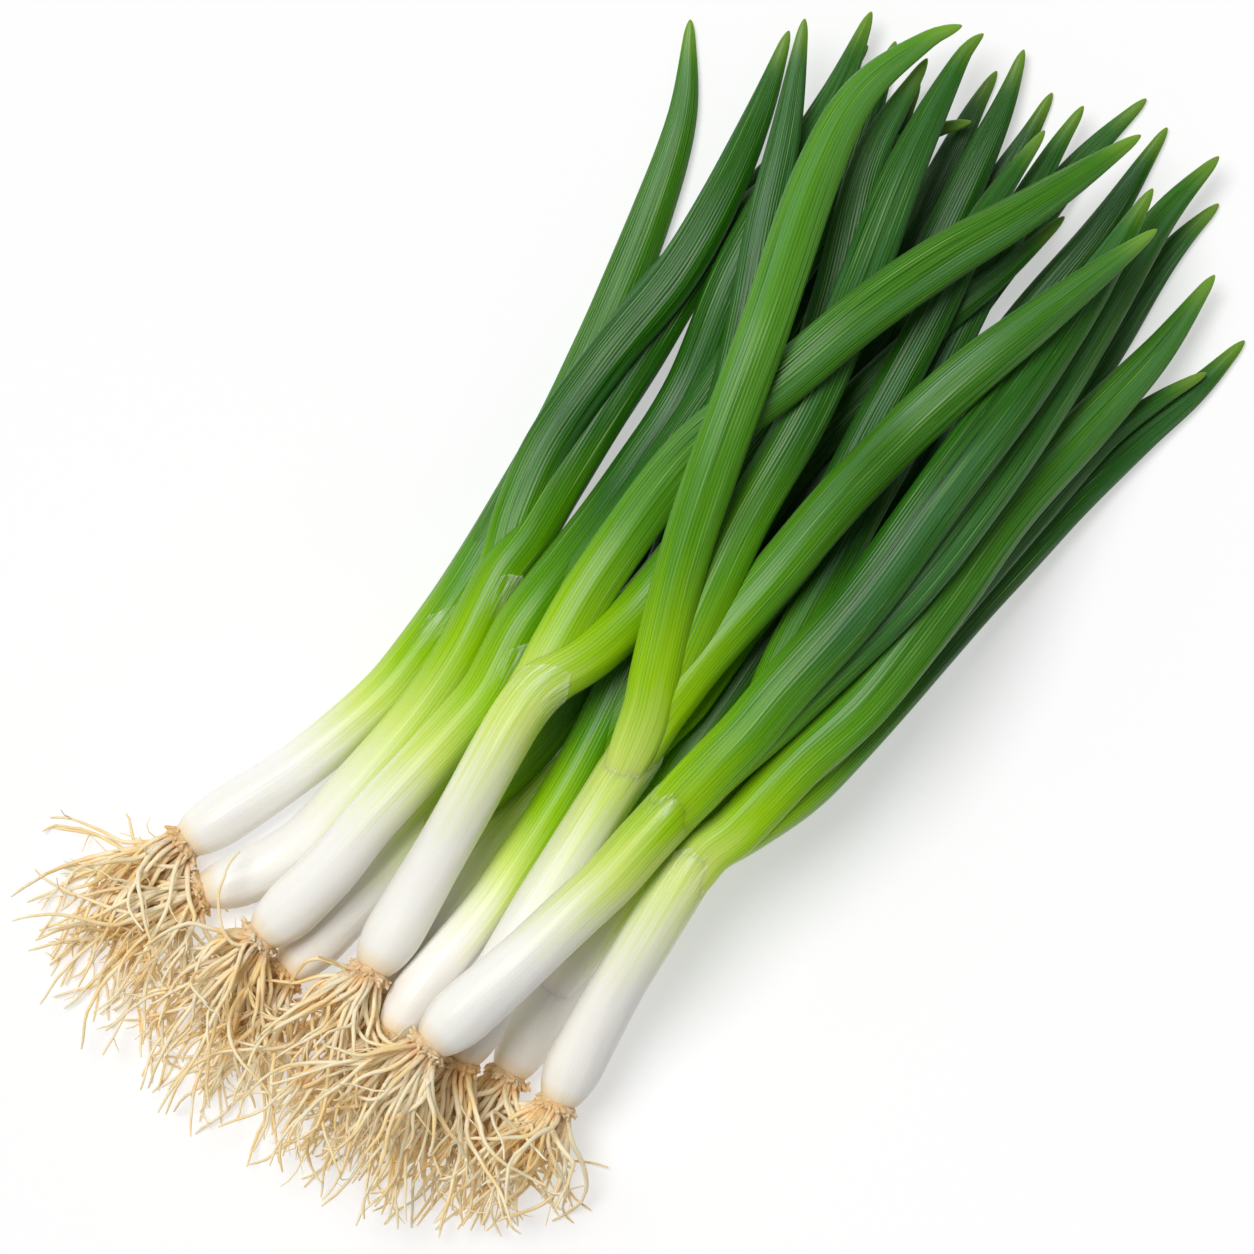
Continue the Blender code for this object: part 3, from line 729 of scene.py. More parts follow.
def shoot_finish(settings):
    """Waxy skin: white to deep green along the shoot, with fine lengthwise veins and streaks, wax
    bloom that is also a painted sheen, and painted shade that darkens the lower leaves and lightens
    the top ones.
    """
    finish = Finish("waxy_shoot")
    skin = finish.attribute("skin")
    growth = finish.attribute("growth")
    across, upward, _ = finish.parts(skin)
    age, to_tip, tone_and_painted_shade = finish.parts(growth)
    broad = finish.fibres(skin, 1.3, 9.0, 3.0)
    fine = finish.fibres(skin, 7.0, 16.0)
    finest = finish.fibres(skin, 15.0, 26.0)
    fleck = finish.fibres(skin, 11.0, 110.0)
    angle = finish.maths("ARCTAN2", upward, across)
    vein = finish.maths("SINE", angle * float(settings.vein_count)) * 0.5 + 0.5
    wander = (broad - 0.5) * 0.030 + (fine - 0.5) * 0.026 + tone_and_painted_shade * 0.006
    age = age + wander * finish.span(age, 0.004, 0.030)
    green = finish.span(age, *GREEN_SPAN)
    leafy = finish.span(age, *LEAF_SPAN)
    colour = finish.ramp(age / GREEN_REACH, shoot_stops(settings))
    # Painted shade and light: leaves low in the pile go towards the dark green, those on top
    # towards the pale green, along with their own random tone
    dark_tone_and_shade = finish.span(tone_and_painted_shade, 0.0, 1.0) * leafy * 0.65
    colour = finish.mix(dark_tone_and_shade, colour, settings.dark_and_shaded_green)
    pale_tone_and_light = finish.span(tone_and_painted_shade, 0.0, -1.0) * leafy * 0.70
    colour = finish.mix(pale_tone_and_light, colour, settings.pale_and_lit_green)
    calm = finish.span(to_tip, *CALM_SPAN)
    ribbed = (1.0 - vein) * finish.span(finest, 0.30, 0.62) * (0.30 + green * 0.26)
    dark_lines = finish.span(fine, 0.47, 0.27) * (0.20 + green * 0.34)
    dark = finish.maths("MINIMUM", (ribbed + dark_lines) * calm, 0.85)
    colour = finish.mix(dark, colour, colour, "MULTIPLY")
    pale_lines = finish.span(finest, 0.54, 0.72) * (0.3 + vein * 0.7) * green * calm * 0.50
    colour = finish.mix(pale_lines, colour, settings.streak)
    # Wax bloom in patches and specks, which also stands in for a painted sheen on the leaves
    wax_and_sheen = finish.span(broad, 0.46, 0.70) * leafy * 0.18
    colour = finish.mix(wax_and_sheen, colour, settings.bloom_and_sheen)
    specks = finish.span(fleck, 0.66, 0.76) * leafy * 0.28
    colour = finish.mix(specks, colour, settings.bloom_and_sheen)
    yellowed = finish.span(to_tip + (fine - 0.5) * 0.010, 0.014, 0.001) * 0.45
    colour = finish.mix(yellowed, colour, settings.tip)
    dry = finish.span(to_tip, 0.0010, 0.0003) * 0.35
    colour = finish.mix(dry, colour, settings.withered)
    roughness = 0.34 + (fine - 0.5) * 0.22 + (broad - 0.5) * 0.12
    height = vein * (0.10 + leafy * 0.45) + finest * (0.30 + leafy * 0.6) + fine * 0.6
    height = height * calm
    finish.surface(
        Base_Color=colour, Roughness=roughness, Normal=finish.bump(height, 0.00018, 0.60),
        Subsurface_Weight=0.22, Subsurface_Radius=(0.003, 0.004, 0.001), Subsurface_Scale=0.6,
        Specular_IOR_Level=0.25)
    return finish.material


def collar_finish(settings):
    """Thin papery skin that lets most of the shoot show through, with a faint painted glow that
    stands in for light passing through it.
    """
    finish = Finish("papery_collar")
    skin = finish.attribute("skin")
    reach = finish.parts(skin)[2]
    fibre = finish.fibres(skin, 17.0, 2.4)
    rising = finish.span(reach, 0.10, 1.00)
    rim = finish.span(reach, 0.94, 0.99) * finish.span(fibre, 0.30, 0.65) * 0.12
    cover = finish.span(fibre, 0.42, 0.70) * rising * settings.cover + rim
    colour = finish.mix(fibre, settings.skin, tone(250, 250, 240))
    # Painted light: the skin glows faintly in its own colour, as if lit through
    finish.surface(
        Base_Color=colour, Roughness=0.42 + fibre * 0.2,
        Alpha=finish.maths("MINIMUM", cover, 0.9),
        Emission_Color=colour, Emission_Strength=0.22)
    return finish.material


def root_finish(settings):
    """Straw-coloured roots, brown near the plate: partly a crust, partly painted shade where the
    roots crowd.
    """
    finish = Finish("straw_root")
    place = finish.add("ShaderNodeTexCoord").outputs["Object"]
    reach, _, own = finish.parts(finish.attribute("growth"))
    broad = finish.grain(place, 90.0, 2.0)
    fine = finish.grain(place, 620.0, 3.0, 0.65)
    colour = finish.mix(finish.span(broad, 0.35, 0.62), settings.straw, settings.pale)
    # Painted shade, partly a real crust: the roots darken to brown close to the plate
    crust = finish.span(reach + (fine - 0.5) * 0.010, 0.0095, 0.003) * 0.62
    colour = finish.mix(crust, colour, settings.brown)
    soil = finish.span(fine + own * 0.05, 0.58, 0.80) * 0.22
    colour = finish.mix(soil, colour, settings.brown)
    finish.surface(
        Base_Color=colour, Roughness=0.62 + fine * 0.2,
        Normal=finish.bump(fine, 0.00012, 0.35),
        Subsurface_Weight=0.35, Subsurface_Radius=(0.002, 0.0015, 0.0008), Subsurface_Scale=0.5)
    return finish.material


def floor_finish(glow):
    """Plain pale paper."""
    finish = Finish("pale_floor")
    finish.surface(
        Base_Color=FLOOR_COLOUR, Roughness=0.9, Specular_IOR_Level=0.1,
        Emission_Color=(1.0, 1.0, 1.0), Emission_Strength=glow)
    return finish.material


# Stems and leaves

# Where the close rings of a rounded end lie, from the base and back from the tip
BASE_RINGS = (0.0, 0.0, 0.0004, 0.0010, 0.0018, 0.0029, 0.0045, 0.0064, 0.0085)
TIP_RINGS = (0.0040, 0.0024, 0.0012, 0.0005, 0.00015, 0.0)

# The soft fold of a leaf: between which angles it starts, how far it drifts round in a metre, how
# wide it is, and how much of its height the rest of the leaf sinks
KEEL_ANGLES = (60.0, 120.0)
KEEL_DRIFT = 2.0
KEEL_WIDTH = 0.30
KEEL_SINK = 0.25

# Slow swellings by their height and their waves round the shoot and along it, and fine furrows that
# wander by so much, so often
SWELLS = ((0.00005, 2.0, 40.0), (0.00004, 3.0, -70.0), (0.00004, 0.0, 95.0))
FURROW_HEIGHT = 0.00005
FURROWS = 9.0
FURROW_WANDER = (12.0, 18.0)

# How dark a shoot is, 1 the darkest and -1 the palest: painted shade, with the lowest layer's value
# and how much paler the top layer is painted as if lit, and a random scatter of tone. Each one's
# grain starts at an offset of its own.
LOWEST_PAINTED_SHADE = 0.9
TOP_LAYER_PAINTED_LIGHT = 1.7
SHADE_SCATTER = 0.4
GRAIN_OFFSET = 4.0
SHOOT_SEED = 3


def ring_places(length, shoot, step):
    """Distances of a shoot's rings: both ends are poles, so their first and last are points."""
    start = BASE_RINGS if shoot.shank is not None else (0.0, 0.0)
    stop = length - TIP_RINGS[0]
    count = int(math.ceil((stop - start[-1]) / step))
    middle = np.linspace(start[-1], stop, count + 1)[1:]
    return np.concatenate((start, middle, length - np.array(TIP_RINGS[1:])))


def curve_of(strand):
    return np.column_stack((strand.plan, strand.levels))


def at_places(strand, places):
    """Centres and unit tangents at distances along a strand."""
    curve = curve_of(strand)
    slopes = np.gradient(curve, strand.along, axis=0)
    centres = np.column_stack([np.interp(places, strand.along, curve[:, a]) for a in range(3)])
    tangents = np.column_stack([np.interp(places, strand.along, slopes[:, a]) for a in range(3)])
    return centres, tangents / np.linalg.norm(tangents, axis=1)[:, None]


def section_axes(tangents):
    """The level side direction and the upward direction square to each tangent."""
    sides = np.cross(tangents, (0.0, 0.0, 1.0))
    sides /= np.linalg.norm(sides, axis=1)[:, None]
    return sides, np.cross(sides, tangents)


def tip_rounding(places, length):
    """1 along a shoot, falling to 0 over the last of its tip, so that the point is closed."""
    return np.sqrt(1.0 - (1.0 - np.clip((length - places) / TIP_RINGS[0], 0.0, 1.0)) ** 2)


def relief(angles, places, shoot, rng, settings):
    """What stands proud of the plain oval section: a soft keel, slow swellings and furrows."""
    keel_angle = math.radians(rng.uniform(*KEEL_ANGLES))
    drift = rng.uniform(-KEEL_DRIFT, KEEL_DRIFT)
    grown = ease((places - (shoot.shank or 0.0)) / NECK_LENGTH)
    off_keel = np.angle(np.exp(1j * (angles - keel_angle - drift * places)))
    keel = settings.keel * grown * (np.exp(-(off_keel / KEEL_WIDTH) ** 2) - KEEL_SINK)
    phases = [any_turn(rng) for _ in range(len(SWELLS) + 1)]
    swell = sum(
        height * np.sin(turns * angles + waves * places + phase)
        for (height, turns, waves), phase in zip(SWELLS, phases))
    wander = FURROW_WANDER[0] * np.sin(FURROW_WANDER[1] * places + phases[-1])
    return keel + swell + FURROW_HEIGHT * np.sin(FURROWS * angles + wander)


def shoot_tube(strand, rng, settings):
    """One stem or leaf: a grid rolled round the strand and closed at both ends."""
    shoot = strand.shoot
    length = strand.along[-1]
    places = ring_places(length, shoot, settings.ring_step)
    piece, around, run = add_grid("shoot", settings.sides, len(places) - 1)
    row = np.rint(run * (len(places) - 1)).astype(int)
    angles = 2.0 * math.pi * around
    centres, tangents = at_places(strand, places)
    sides, rises = section_axes(tangents)
    widths = strand_widths(strand, places) * tip_rounding(places, length)
    heights = widths * flatness(places, shoot)
    widths[0] = heights[0] = 0.0
    proud = relief(angles, places[row], shoot, rng, settings)
    proud *= np.clip(widths[row] / LEAF_WIDTH, 0.0, 1.0)
    across = (0.5 * widths[row] + proud) * np.cos(angles) * (widths[row] > 0.0)
    upward = (0.5 * heights[row] + proud) * np.sin(angles) * (widths[row] > 0.0)
    points = centres[row] + sides[row] * across[:, None] + rises[row] * upward[:, None]
    points[:, 2] = np.maximum(points[:, 2], 0.0)
    place_vertices(piece, points)
    from_root = places[row] + strand.start
    # Painted shade: a shoot low in the pile is darker and one on top paler, as if lit, plus its
    # onion's offset and a random scatter of tone
    layer = SHOOTS.index(shoot) / (len(SHOOTS) - 1)
    tone_and_painted_shade = LOWEST_PAINTED_SHADE - TOP_LAYER_PAINTED_LIGHT * layer ** 2 + SHADES.get(shoot.onion, 0.0)
    tone_and_painted_shade += SHADE_SCATTER * rng.uniform(-1.0, 1.0)
    offset = rng.uniform(0.0, GRAIN_OFFSET)
    set_vectors(piece, "skin", np.column_stack(
        (np.cos(angles), np.sin(angles), from_root + offset)))
    set_vectors(piece, "growth", np.column_stack(
        (from_root * GREENING[shoot.onion], length - places[row], np.full(len(row), tone_and_painted_shade))))
    close_seams(piece)
    return piece


class ONION_OT_shoots(bpy.types.Operator):
    """Model the stems and leaves of every onion"""

    bl_idname = "onion.shoots"
    bl_label = "Stems and leaves"

    def execute(self, context):
        settings = context.scene.onion_shoots
        skin = shoot_finish(settings)
        rng = random.Random(SHOOT_SEED)
        for onion in onion_names():
            tubes = [shoot_tube(strand, rng, settings) for strand in strands_of(onion)]
            for tube in tubes:
                tube.data.materials.append(skin)
            piece = join(onion + "_shoots", tubes)
            dress(piece, onion)
        return {"FINISHED"}


# Papery collars

COLLAR_COLUMNS = 60
COLLAR_ROWS = 16
COLLAR_SEED = 5

# The torn edge: its slant, its waves, and the ranges of each one's frequency, phase and depth
COLLAR_SLANT = 0.30
COLLAR_WAVES = 3
COLLAR_WAVE_RANGES = ((1.0, 4.0), (0.0, 6.28), (0.01, 0.05))

# How far the skin stands off at its sides, as a share of its gap, and how soon it is clear of them
COLLAR_SEAT = 0.3
COLLAR_SEAT_SHARE = 0.2


def collar_sheet(name, collar, rng, settings):
    """A skin round part of a stem, whose free edge is ragged and stands off a little."""
    strand = strands_of(collar.onion)[0]
    piece, around, run = add_grid(name, COLLAR_COLUMNS, COLLAR_ROWS)
    waves = [[rng.uniform(*ends) for ends in COLLAR_WAVE_RANGES] for _ in range(COLLAR_WAVES)]
    notch = sum(depth * np.sin(count * around * math.pi + phase) for count, phase, depth in waves)
    off_middle = np.abs(around - 0.5) * 2.0
    places = collar.place + collar.length * run * (1.0 + notch - COLLAR_SLANT * off_middle)
    centres, tangents = at_places(strand, places)
    sides, rises = section_axes(tangents)
    sweep = math.radians(collar.sweep) * (0.5 - around)
    angles = math.pi / 2.0 - math.radians(collar.facing) + sweep
    widths = strand_widths(strand, places)
    heights = widths * flatness(places, strand.shoot)
    clear = ease((1.0 - off_middle) / COLLAR_SEAT_SHARE)
    lift = settings.gap * (COLLAR_SEAT + (1.0 - COLLAR_SEAT) * clear)
    lift = lift + collar.flare * ease(run) ** 2
    across = (0.5 * widths + lift) * np.cos(angles)
    upward = (0.5 * heights + lift) * np.sin(angles)
    place_vertices(piece, centres + sides * across[:, None] + rises * upward[:, None])
    set_vectors(piece, "skin", np.column_stack((np.cos(angles), np.sin(angles), run)))
    activate(piece)
    solidify = piece.modifiers.new("skin", "SOLIDIFY")
    solidify.thickness = settings.thickness
    solidify.offset = 1.0
    bpy.ops.object.modifier_apply(modifier=solidify.name)
    bpy.ops.object.shade_smooth()
    return piece


class ONION_OT_collars(bpy.types.Operator):
    """Model the papery collars where the leaves part"""

    bl_idname = "onion.collars"
    bl_label = "Papery collars"

    def execute(self, context):
        settings = context.scene.onion_collars
        skin = collar_finish(settings)
        rng = random.Random(COLLAR_SEED)
        for number, collar in enumerate(COLLARS, start=1):
            piece = collar_sheet(f"{collar.onion}_collar_{number}", collar, rng, settings)
            piece.data.materials.append(skin)
            dress(piece, None)
        return {"FINISHED"}


# Roots

ROOT_SEED = 17

# Where roots leave the plate, as shares of its length and width, and how far they fan out
ROOT_SEAT = 0.3
ROOT_CIRCLE = 0.45
ROOT_DISC = (0.01, 1.0)
ROOT_SPREAD = 0.66

# Which way roots fall, how strongly, and how high the bed of roots under them is at the plate
ROOT_FALL = Vector((-0.95, -0.32, 0.0))
ROOT_PULL = 0.058
ROOT_DROOP = 0.065
ROOT_DROOP_RANGE = (0.3, 1.3)
ROOT_BED = 0.008

# The waves of a root: how much of its curl lasts from point to point, and what each point adds
ROOT_CURL = 0.55
ROOT_WANDER = 0.082
ROOT_KINK = 0.21
ROOT_KINK_CHANCE = 0.12

# The thickness of a root, as shares of the settings' widths
ROOT_THICKNESS_RANGE = (0.80, 1.10)
ROOT_THINNING = 1.6
ROOT_UNEVENNESS = 0.07
ROOT_END = 0.70

# Where roots may lie. The edges are the left, right, upper and lower one, in plan units.
ROOT_TRIES = 2600
ROOT_CLEARANCE = 0.0004
ROOT_FREE_LENGTH = 0.009
ROOT_SURROUNDINGS = 0.085
ROOT_EDGES = (6, 612, 812, 1243)
ROOT_CEILING = 0.047
BOX_MARGIN = 0.0015

# Side rootlets and broken stubs, whose tapers are shares of their thickness from point to point
ROOTLET_FIRST = 3
ROOTLET_LENGTHS = (0.0040, 0.0130)
ROOTLET_LEAN = (0.6, 1.4)
ROOTLET_WANDER = 0.28
ROOTLET_THICKNESS_RANGE = (0.8, 1.3)
ROOTLET_FLOOR_SHARE = 0.7
ROOTLET_TAPER = (1.0, 0.95, 0.85, 0.7, 0.4)
STUB_COUNT = 90
STUB_SEAT = 0.1
STUB_CIRCLE = 0.52
STUB_DISC = (0.05, 1.0)
STUB_LEAN = (0.4, 1.4)
STUB_LENGTHS = (0.0012, 0.0032)
STUB_WANDER = 0.2
STUB_THICKNESS_RANGE = (0.8, 1.35)
STUB_TAPER = (1.0, 0.95, 0.75, 0.35)

# The plate's size and seat as shares, and each layer of its crust by height, scale and offset
PLATE_WIDTH_SHARE = 0.57
PLATE_LENGTH_SHARE = 0.55
PLATE_SEAT = 0.12
PLATE_CRUST = ((0.22, 3.1, 90.0), (0.16, 8.0, 150.0))

# The bevel depth of a tuft's curve, which each point's radius multiplies
TUBE_UNIT = 0.001


def root_plate(onion):
    """Where an onion's root plate starts, and the way that it faces."""
    curve = curve_of(strands_of(onion)[0])
    first, second = Vector(curve[0]), Vector(curve[2])
    axis = (first - second).normalized()
    return first + axis * ROOT_PLATE_GAP, axis


def spoke(axis, turn):
    """The direction square to an axis at a turn round it."""
    side = axis.cross(Vector((0.0, 0.0, 1.0))).normalized()
    rise = side.cross(axis).normalized()
    return side * math.cos(turn) + rise * math.sin(turn)


def root_path(rng, start, axis, length, settings):
    """One wavy root: out of the plate, drooping to those below it and wandering over them."""
    outward = spoke(axis, any_turn(rng))
    share = math.sqrt(rng.uniform(*ROOT_DISC))
    spread = ROOT_SPREAD * share
    aim = axis * math.cos(spread) + outward * math.sin(spread)
    point = start + axis * (ROOT_SEAT * ROOT_PLATE_LENGTH)
    point = point + outward * (ROOT_CIRCLE * share * BASE_PLATE_WIDTH)
    bed = 0.5 * settings.width + ROOT_BED * rng.random() ** 2
    droop = ROOT_DROOP * rng.uniform(*ROOT_DROOP_RANGE)
    curl = Vector((0.0, 0.0, 0.0))
    step = length / (settings.joints - 1)
    points = [point.copy()]
    for index in range(1, settings.joints):
        kick = scatter(rng, 1.0)
        kink = ROOT_KINK if rng.random() < ROOT_KINK_CHANCE else ROOT_WANDER
        curl = curl * ROOT_CURL + kick * kink
        fall = ROOT_FALL * ROOT_PULL - Vector((0.0, 0.0, droop))
        aim = (aim + curl + fall).normalized()
        point = point + aim * step
        floor = bed * (1.0 - index / settings.joints) + 0.5 * settings.tip_width
        if point.z < floor:
            point.z = floor
            aim.z = max(aim.z, 0.0)
            aim.normalize()
        points.append(point.copy())
    return points


def root_radii(count, settings, rng):
    """Radius at each point: thick at the plate, slender at the end, slightly uneven."""
    thick = settings.width * rng.uniform(*ROOT_THICKNESS_RANGE)
    radii = []
    for index in range(count):
        share = index / (count - 1)
        width = settings.tip_width + (thick - settings.tip_width) * (1.0 - share ** ROOT_THINNING)
        width *= 1.0 + rng.uniform(-ROOT_UNEVENNESS, ROOT_UNEVENNESS)
        radii.append(0.5 * width)
    radii[-1] *= ROOT_END
    return radii


def stem_clearance(points, onion):
    """The least gap between a root and every stem and leaf."""
    samples = np.array(points[1:])
    least = math.inf
    for strand in bunch()[0]:
        centres = curve_of(strand)
        radii = strand.widths / 2.0
        if strand.shoot.onion == onion:
            kept = strand.along > ROOT_FREE_LENGTH
            centres, radii = centres[kept], radii[kept]
        near = np.linalg.norm(centres[:, :2] - samples[0, :2], axis=1) < ROOT_SURROUNDINGS
        if not near.any():
            continue
        gaps = np.linalg.norm(samples[:, None, :] - centres[near][None, :, :], axis=2)
        least = min(least, float((gaps - radii[near][None, :]).min()))
    return least


def rootlet_path(rng, points, radii, settings):
    """A short side rootlet that leaves a root."""
    index = rng.randrange(ROOTLET_FIRST, len(points) - 1)
    along = (points[index] - points[index - 1]).normalized()
    out = scatter(rng, 1.0)
    out = (out - along * out.dot(along)).normalized()
    aim = (along * rng.uniform(*ROOTLET_LEAN) + out).normalized()
    steps = len(ROOTLET_TAPER) - 1
    length = rng.uniform(*ROOTLET_LENGTHS)
    point = points[index].copy()
    found = [point.copy()]
    for _ in range(steps):
        aim = (aim + scatter(rng, ROOTLET_WANDER)).normalized()
        point = point + aim * (length / steps)
        point.z = max(point.z, ROOTLET_FLOOR_SHARE * settings.rootlet_width)
        found.append(point.copy())
    thick = 0.5 * settings.rootlet_width * rng.uniform(*ROOTLET_THICKNESS_RANGE)
    thick = min(radii[index], thick)
    return found, [thick * share for share in ROOTLET_TAPER]


def in_reach(points):
    """Whether a root stays below its ceiling, in the solids' box and within the plan's edges."""
    if max(point.z for point in points) > ROOT_CEILING:
        return False
    places = np.array(points)[:, :2]
    low, high = (np.array(corner[:2]) for corner in CAD_BOX)
    x, y = (places - bunch()[1]).T
    right = (x * math.cos(BUNCH_TURN) - y * math.sin(BUNCH_TURN)) / PLAN_UNIT
    down = -(x * math.sin(BUNCH_TURN) + y * math.cos(BUNCH_TURN)) / PLAN_UNIT
    boxed = (places > low - BOX_MARGIN).all() and (places < high + BOX_MARGIN).all()
    left_edge, right_edge, upper_edge, lower_edge = ROOT_EDGES
    across = (right > left_edge).all() and (right < right_edge).all()
    return bool(boxed and across and (down > upper_edge).all() and (down < lower_edge).all())


def grow_tuft(rng, onion, start, axis, settings):
    """Paths and radii of every root and rootlet of one onion."""
    strands = []
    roots = 0
    for _ in range(ROOT_TRIES):
        if roots == settings.count:
            break
        length = rng.uniform(settings.shortest, settings.longest)
        points = root_path(rng, start, axis, length, settings)
        if stem_clearance(points, onion) < ROOT_CLEARANCE or not in_reach(points):
            continue
        radii = root_radii(len(points), settings, rng)
        strands.append((points, radii))
        roots += 1
        for _ in range(rng.randint(0, settings.rootlets)):
            strands.append(rootlet_path(rng, points, radii, settings))
    return strands


def stubs(rng, start, axis, settings):
    """Short broken roots that crowd the plate."""
    steps = len(STUB_TAPER) - 1
    found = []
    for _ in range(STUB_COUNT):
        outward = spoke(axis, any_turn(rng))
        share = math.sqrt(rng.uniform(*STUB_DISC))
        point = start + axis * (STUB_SEAT * ROOT_PLATE_LENGTH)
        point = point + outward * (STUB_CIRCLE * share * BASE_PLATE_WIDTH)
        aim = (axis + outward * (STUB_LEAN[0] + STUB_LEAN[1] * share)).normalized()
        length = rng.uniform(*STUB_LENGTHS)
        thick = 0.5 * settings.width * rng.uniform(*STUB_THICKNESS_RANGE)
        points = []
        for index in range(steps + 1):
            points.append(point + aim * (length * index / steps))
            aim = (aim + scatter(rng, STUB_WANDER)).normalized()
        for place in points:
            place.z = max(place.z, thick)
        found.append((points, [thick * share for share in STUB_TAPER]))
    return found


def tuft_mesh(name, strands):
    """One mesh of many fine tubes, swept along their paths."""
    deselect_all()
    curve = bpy.data.curves.new(name, "CURVE")
    curve.dimensions = "3D"
    curve.bevel_depth = TUBE_UNIT
    curve.bevel_resolution = 1
    curve.use_fill_caps = True
    for points, radii in strands:
        spline = curve.splines.new("POLY")
        spline.points.add(len(points) - 1)
        spline.use_smooth = True
        for target, point, radius in zip(spline.points, points, radii):
            target.co = (*point, 1.0)
            target.radius = radius / TUBE_UNIT
    piece = bpy.data.objects.new(name, curve)
    bpy.context.scene.collection.objects.link(piece)
    activate(piece)
    bpy.ops.object.convert(target="MESH")
    return bpy.context.active_object


def plate_knob(name, start, axis):
    """The crusty domed plate under the shank."""
    deselect_all()
    bpy.ops.mesh.primitive_ico_sphere_add(subdivisions=4, radius=1.0)
    piece = bpy.context.active_object
    piece.name = name
    turn = axis.to_track_quat("Z", "Y").to_matrix()
    centre = start + axis * (PLATE_SEAT * ROOT_PLATE_LENGTH)
    for vertex in piece.data.vertices:
        crust = 1.0
        for height, scale, offset in PLATE_CRUST:
            crust += height * noise.noise(vertex.co * scale + start * offset)
        place = vertex.co * crust
        place.x *= PLATE_WIDTH_SHARE * BASE_PLATE_WIDTH
        place.y *= PLATE_WIDTH_SHARE * BASE_PLATE_WIDTH
        place.z *= PLATE_LENGTH_SHARE * ROOT_PLATE_LENGTH
        vertex.co = turn @ place + centre
        vertex.co.z = max(vertex.co.z, 0.0)
    activate(piece)
    bpy.ops.object.shade_smooth()
    return piece


def mark_reach(piece, start, own):
    """Stores each vertex's distance from the plate, for the brown crust and painted shade near it.
    """
    reach = np.linalg.norm(vertex_places(piece) - np.array(start), axis=1)
    set_vectors(piece, "growth", np.column_stack(
        (reach, np.zeros(len(reach)), np.full(len(reach), own))))


class ONION_OT_roots(bpy.types.Operator):
    """Model the root plate and the tuft of roots of every onion"""

    bl_idname = "onion.roots"
    bl_label = "Roots"

    def execute(self, context):
        settings = context.scene.onion_roots
        straw = root_finish(settings)
        rng = random.Random(ROOT_SEED)
        for onion in onion_names():
            start, axis = root_plate(onion)
            strands = grow_tuft(rng, onion, start, axis, settings)
            strands += stubs(rng, start, axis, settings)
            tuft = tuft_mesh(onion + "_tuft", strands)
            knob = plate_knob(onion + "_plate", start, axis)
            for piece in (tuft, knob):
                mark_reach(piece, start, rng.uniform(-1.0, 1.0))
                piece.data.materials.append(straw)
            piece = join(onion + "_tuft", [tuft, knob])
            dress(piece, onion + "_roots")
        return {"FINISHED"}


# Stage

FLOOR_SIZE = 30.0
FLOOR_COLOUR = (0.52, 0.52, 0.52)

# The side and the centre of the picture, in plan units, and how far the camera sees
IMAGE_SIDE = 1254
IMAGE_CENTRE = (627, 627)
CAMERA_REACH = 100.0


def add_floor(settings):
    deselect_all()
    bpy.ops.mesh.primitive_plane_add(size=FLOOR_SIZE)
    floor = bpy.context.active_object
    floor.name = "floor"
    floor.data.materials.append(floor_finish(settings.floor_glow))
    floor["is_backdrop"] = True


def add_lights(settings):
    """A broad soft key from the upper left of the view, and even light from all round."""
    towards = plan_points(((0, 0), (-1, -1)))
    way = Vector((*(towards[1] - towards[0]), 0.0)).normalized()
    way = way * math.cos(settings.key_height) + Vector((0.0, 0.0, math.sin(settings.key_height)))
    bpy.ops.object.light_add(type="SUN")
    key = bpy.context.active_object
    key.name = "key_light"
    key.data.energy = settings.key_strength
    key.data.angle = settings.key_size
    key.rotation_euler = way.to_track_quat("Z", "Y").to_euler()
    world = bpy.data.worlds.new("studio")
    world.use_nodes = True
    background = world.node_tree.nodes["Background"]
    background.inputs["Color"].default_value = (1.0, 1.0, 1.0, 1.0)
    background.inputs["Strength"].default_value = settings.ambient
    bpy.context.scene.world = world


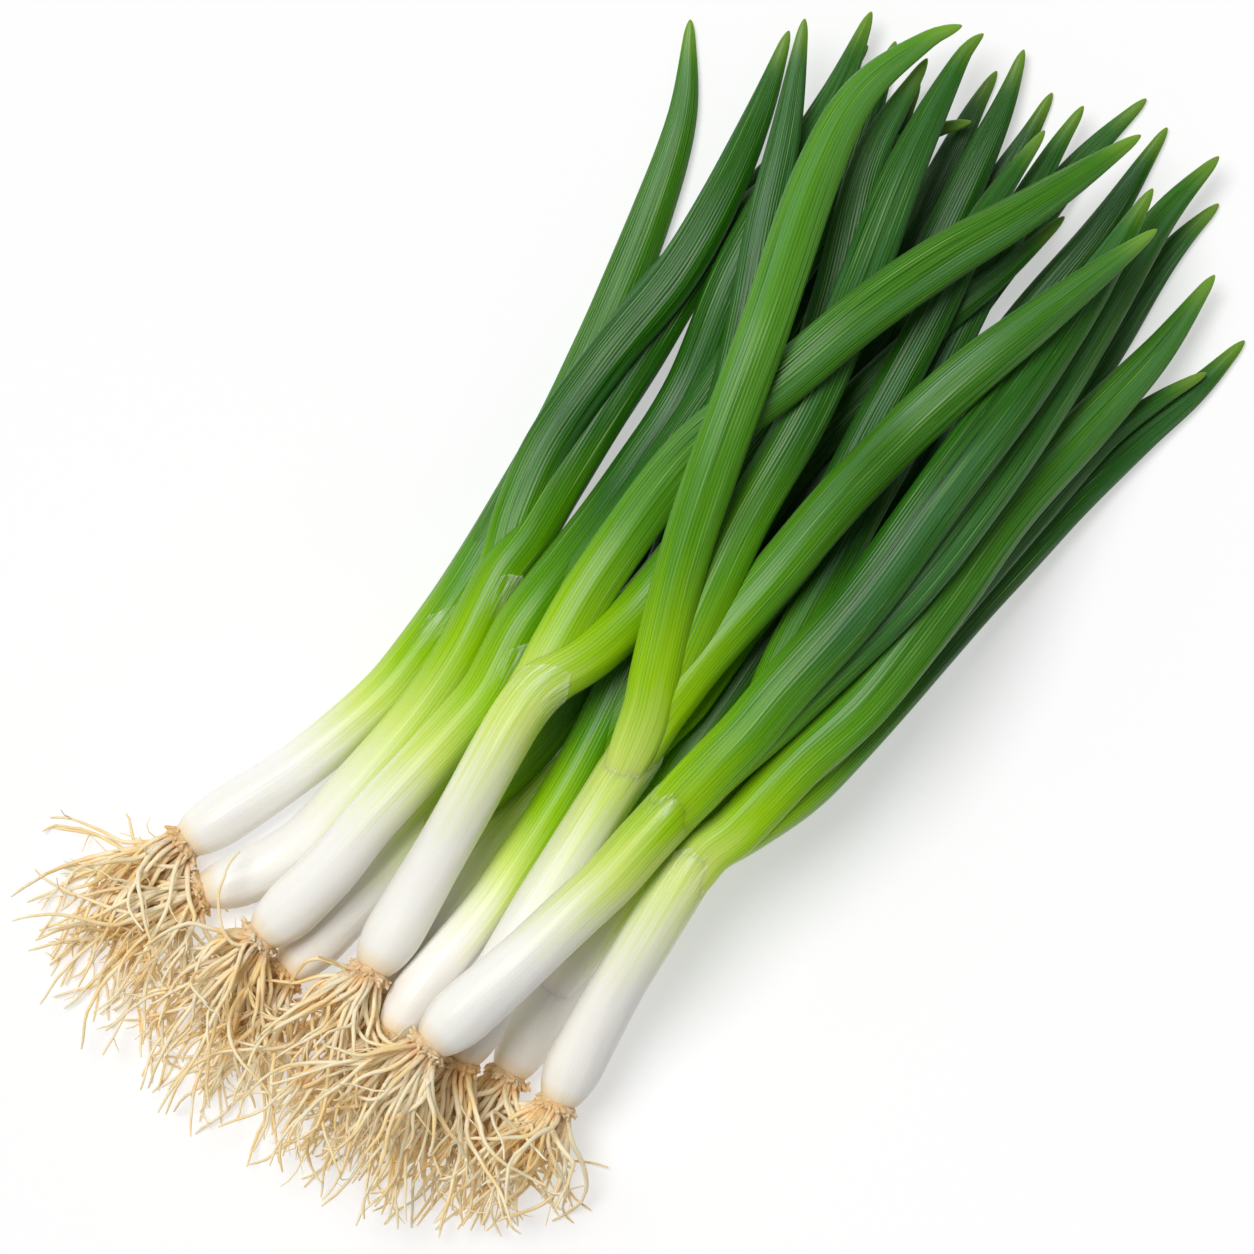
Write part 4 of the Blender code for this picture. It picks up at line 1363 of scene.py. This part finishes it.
def add_camera(settings):
    """Straight down on the middle of the picture, true to scale at the plan level."""
    centre = plan_points((IMAGE_CENTRE,))[0] + bunch()[1]
    bpy.ops.object.camera_add(location=(*centre, settings.camera_height))
    camera = bpy.context.active_object
    camera.name = "camera"
    camera.rotation_euler = (0.0, 0.0, -BUNCH_TURN)
    distance = settings.camera_height - settings.focus_level
    width = IMAGE_SIDE * PLAN_UNIT
    camera.data.lens = camera.data.sensor_width * distance / width
    camera.data.clip_end = CAMERA_REACH
    bpy.context.scene.camera = camera


class ONION_OT_stage(bpy.types.Operator):
    """Set up the floor, the lights and the camera"""

    bl_idname = "onion.stage"
    bl_label = "Stage"

    def execute(self, context):
        settings = context.scene.onion_studio
        add_floor(settings)
        add_lights(settings)
        add_camera(settings)
        context.scene.view_settings.view_transform = "Standard"
        return {"FINISHED"}


# Add-on

class ONION_PT_panel(bpy.types.Panel):
    """Lists the bunch's pieces in the sidebar"""

    bl_label = "Spring onions"
    bl_space_type = "VIEW_3D"
    bl_region_type = "UI"
    bl_category = "Spring onions"

    def draw(self, context):
        for operator in OPERATORS:
            self.layout.operator(operator.bl_idname)
        for group in SETTINGS:
            box = self.layout.box()
            values = getattr(context.scene, group)
            for name in values.bl_rna.properties.keys():
                if name not in ("rna_type", "name"):
                    box.prop(values, name)


SETTINGS = {
    "onion_shoots": ShootSettings,
    "onion_collars": CollarSettings,
    "onion_roots": RootSettings,
    "onion_studio": StudioSettings,
}
OPERATORS = (ONION_OT_stage, ONION_OT_shoots, ONION_OT_collars, ONION_OT_roots)
CLASSES = (*SETTINGS.values(), *OPERATORS, ONION_PT_panel)


def register():
    for item in CLASSES:
        bpy.utils.register_class(item)
    for name, group in SETTINGS.items():
        setattr(bpy.types.Scene, name, PointerProperty(type=group))


def unregister():
    for name in SETTINGS:
        delattr(bpy.types.Scene, name)
    for item in reversed(CLASSES):
        bpy.utils.unregister_class(item)


CAD_BOX = [list(corner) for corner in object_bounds()]


def main():
    register()
    bpy.ops.onion.stage()
    bpy.ops.onion.shoots()
    bpy.ops.onion.collars()
    bpy.ops.onion.roots()


if __name__ == "__main__":
    main()
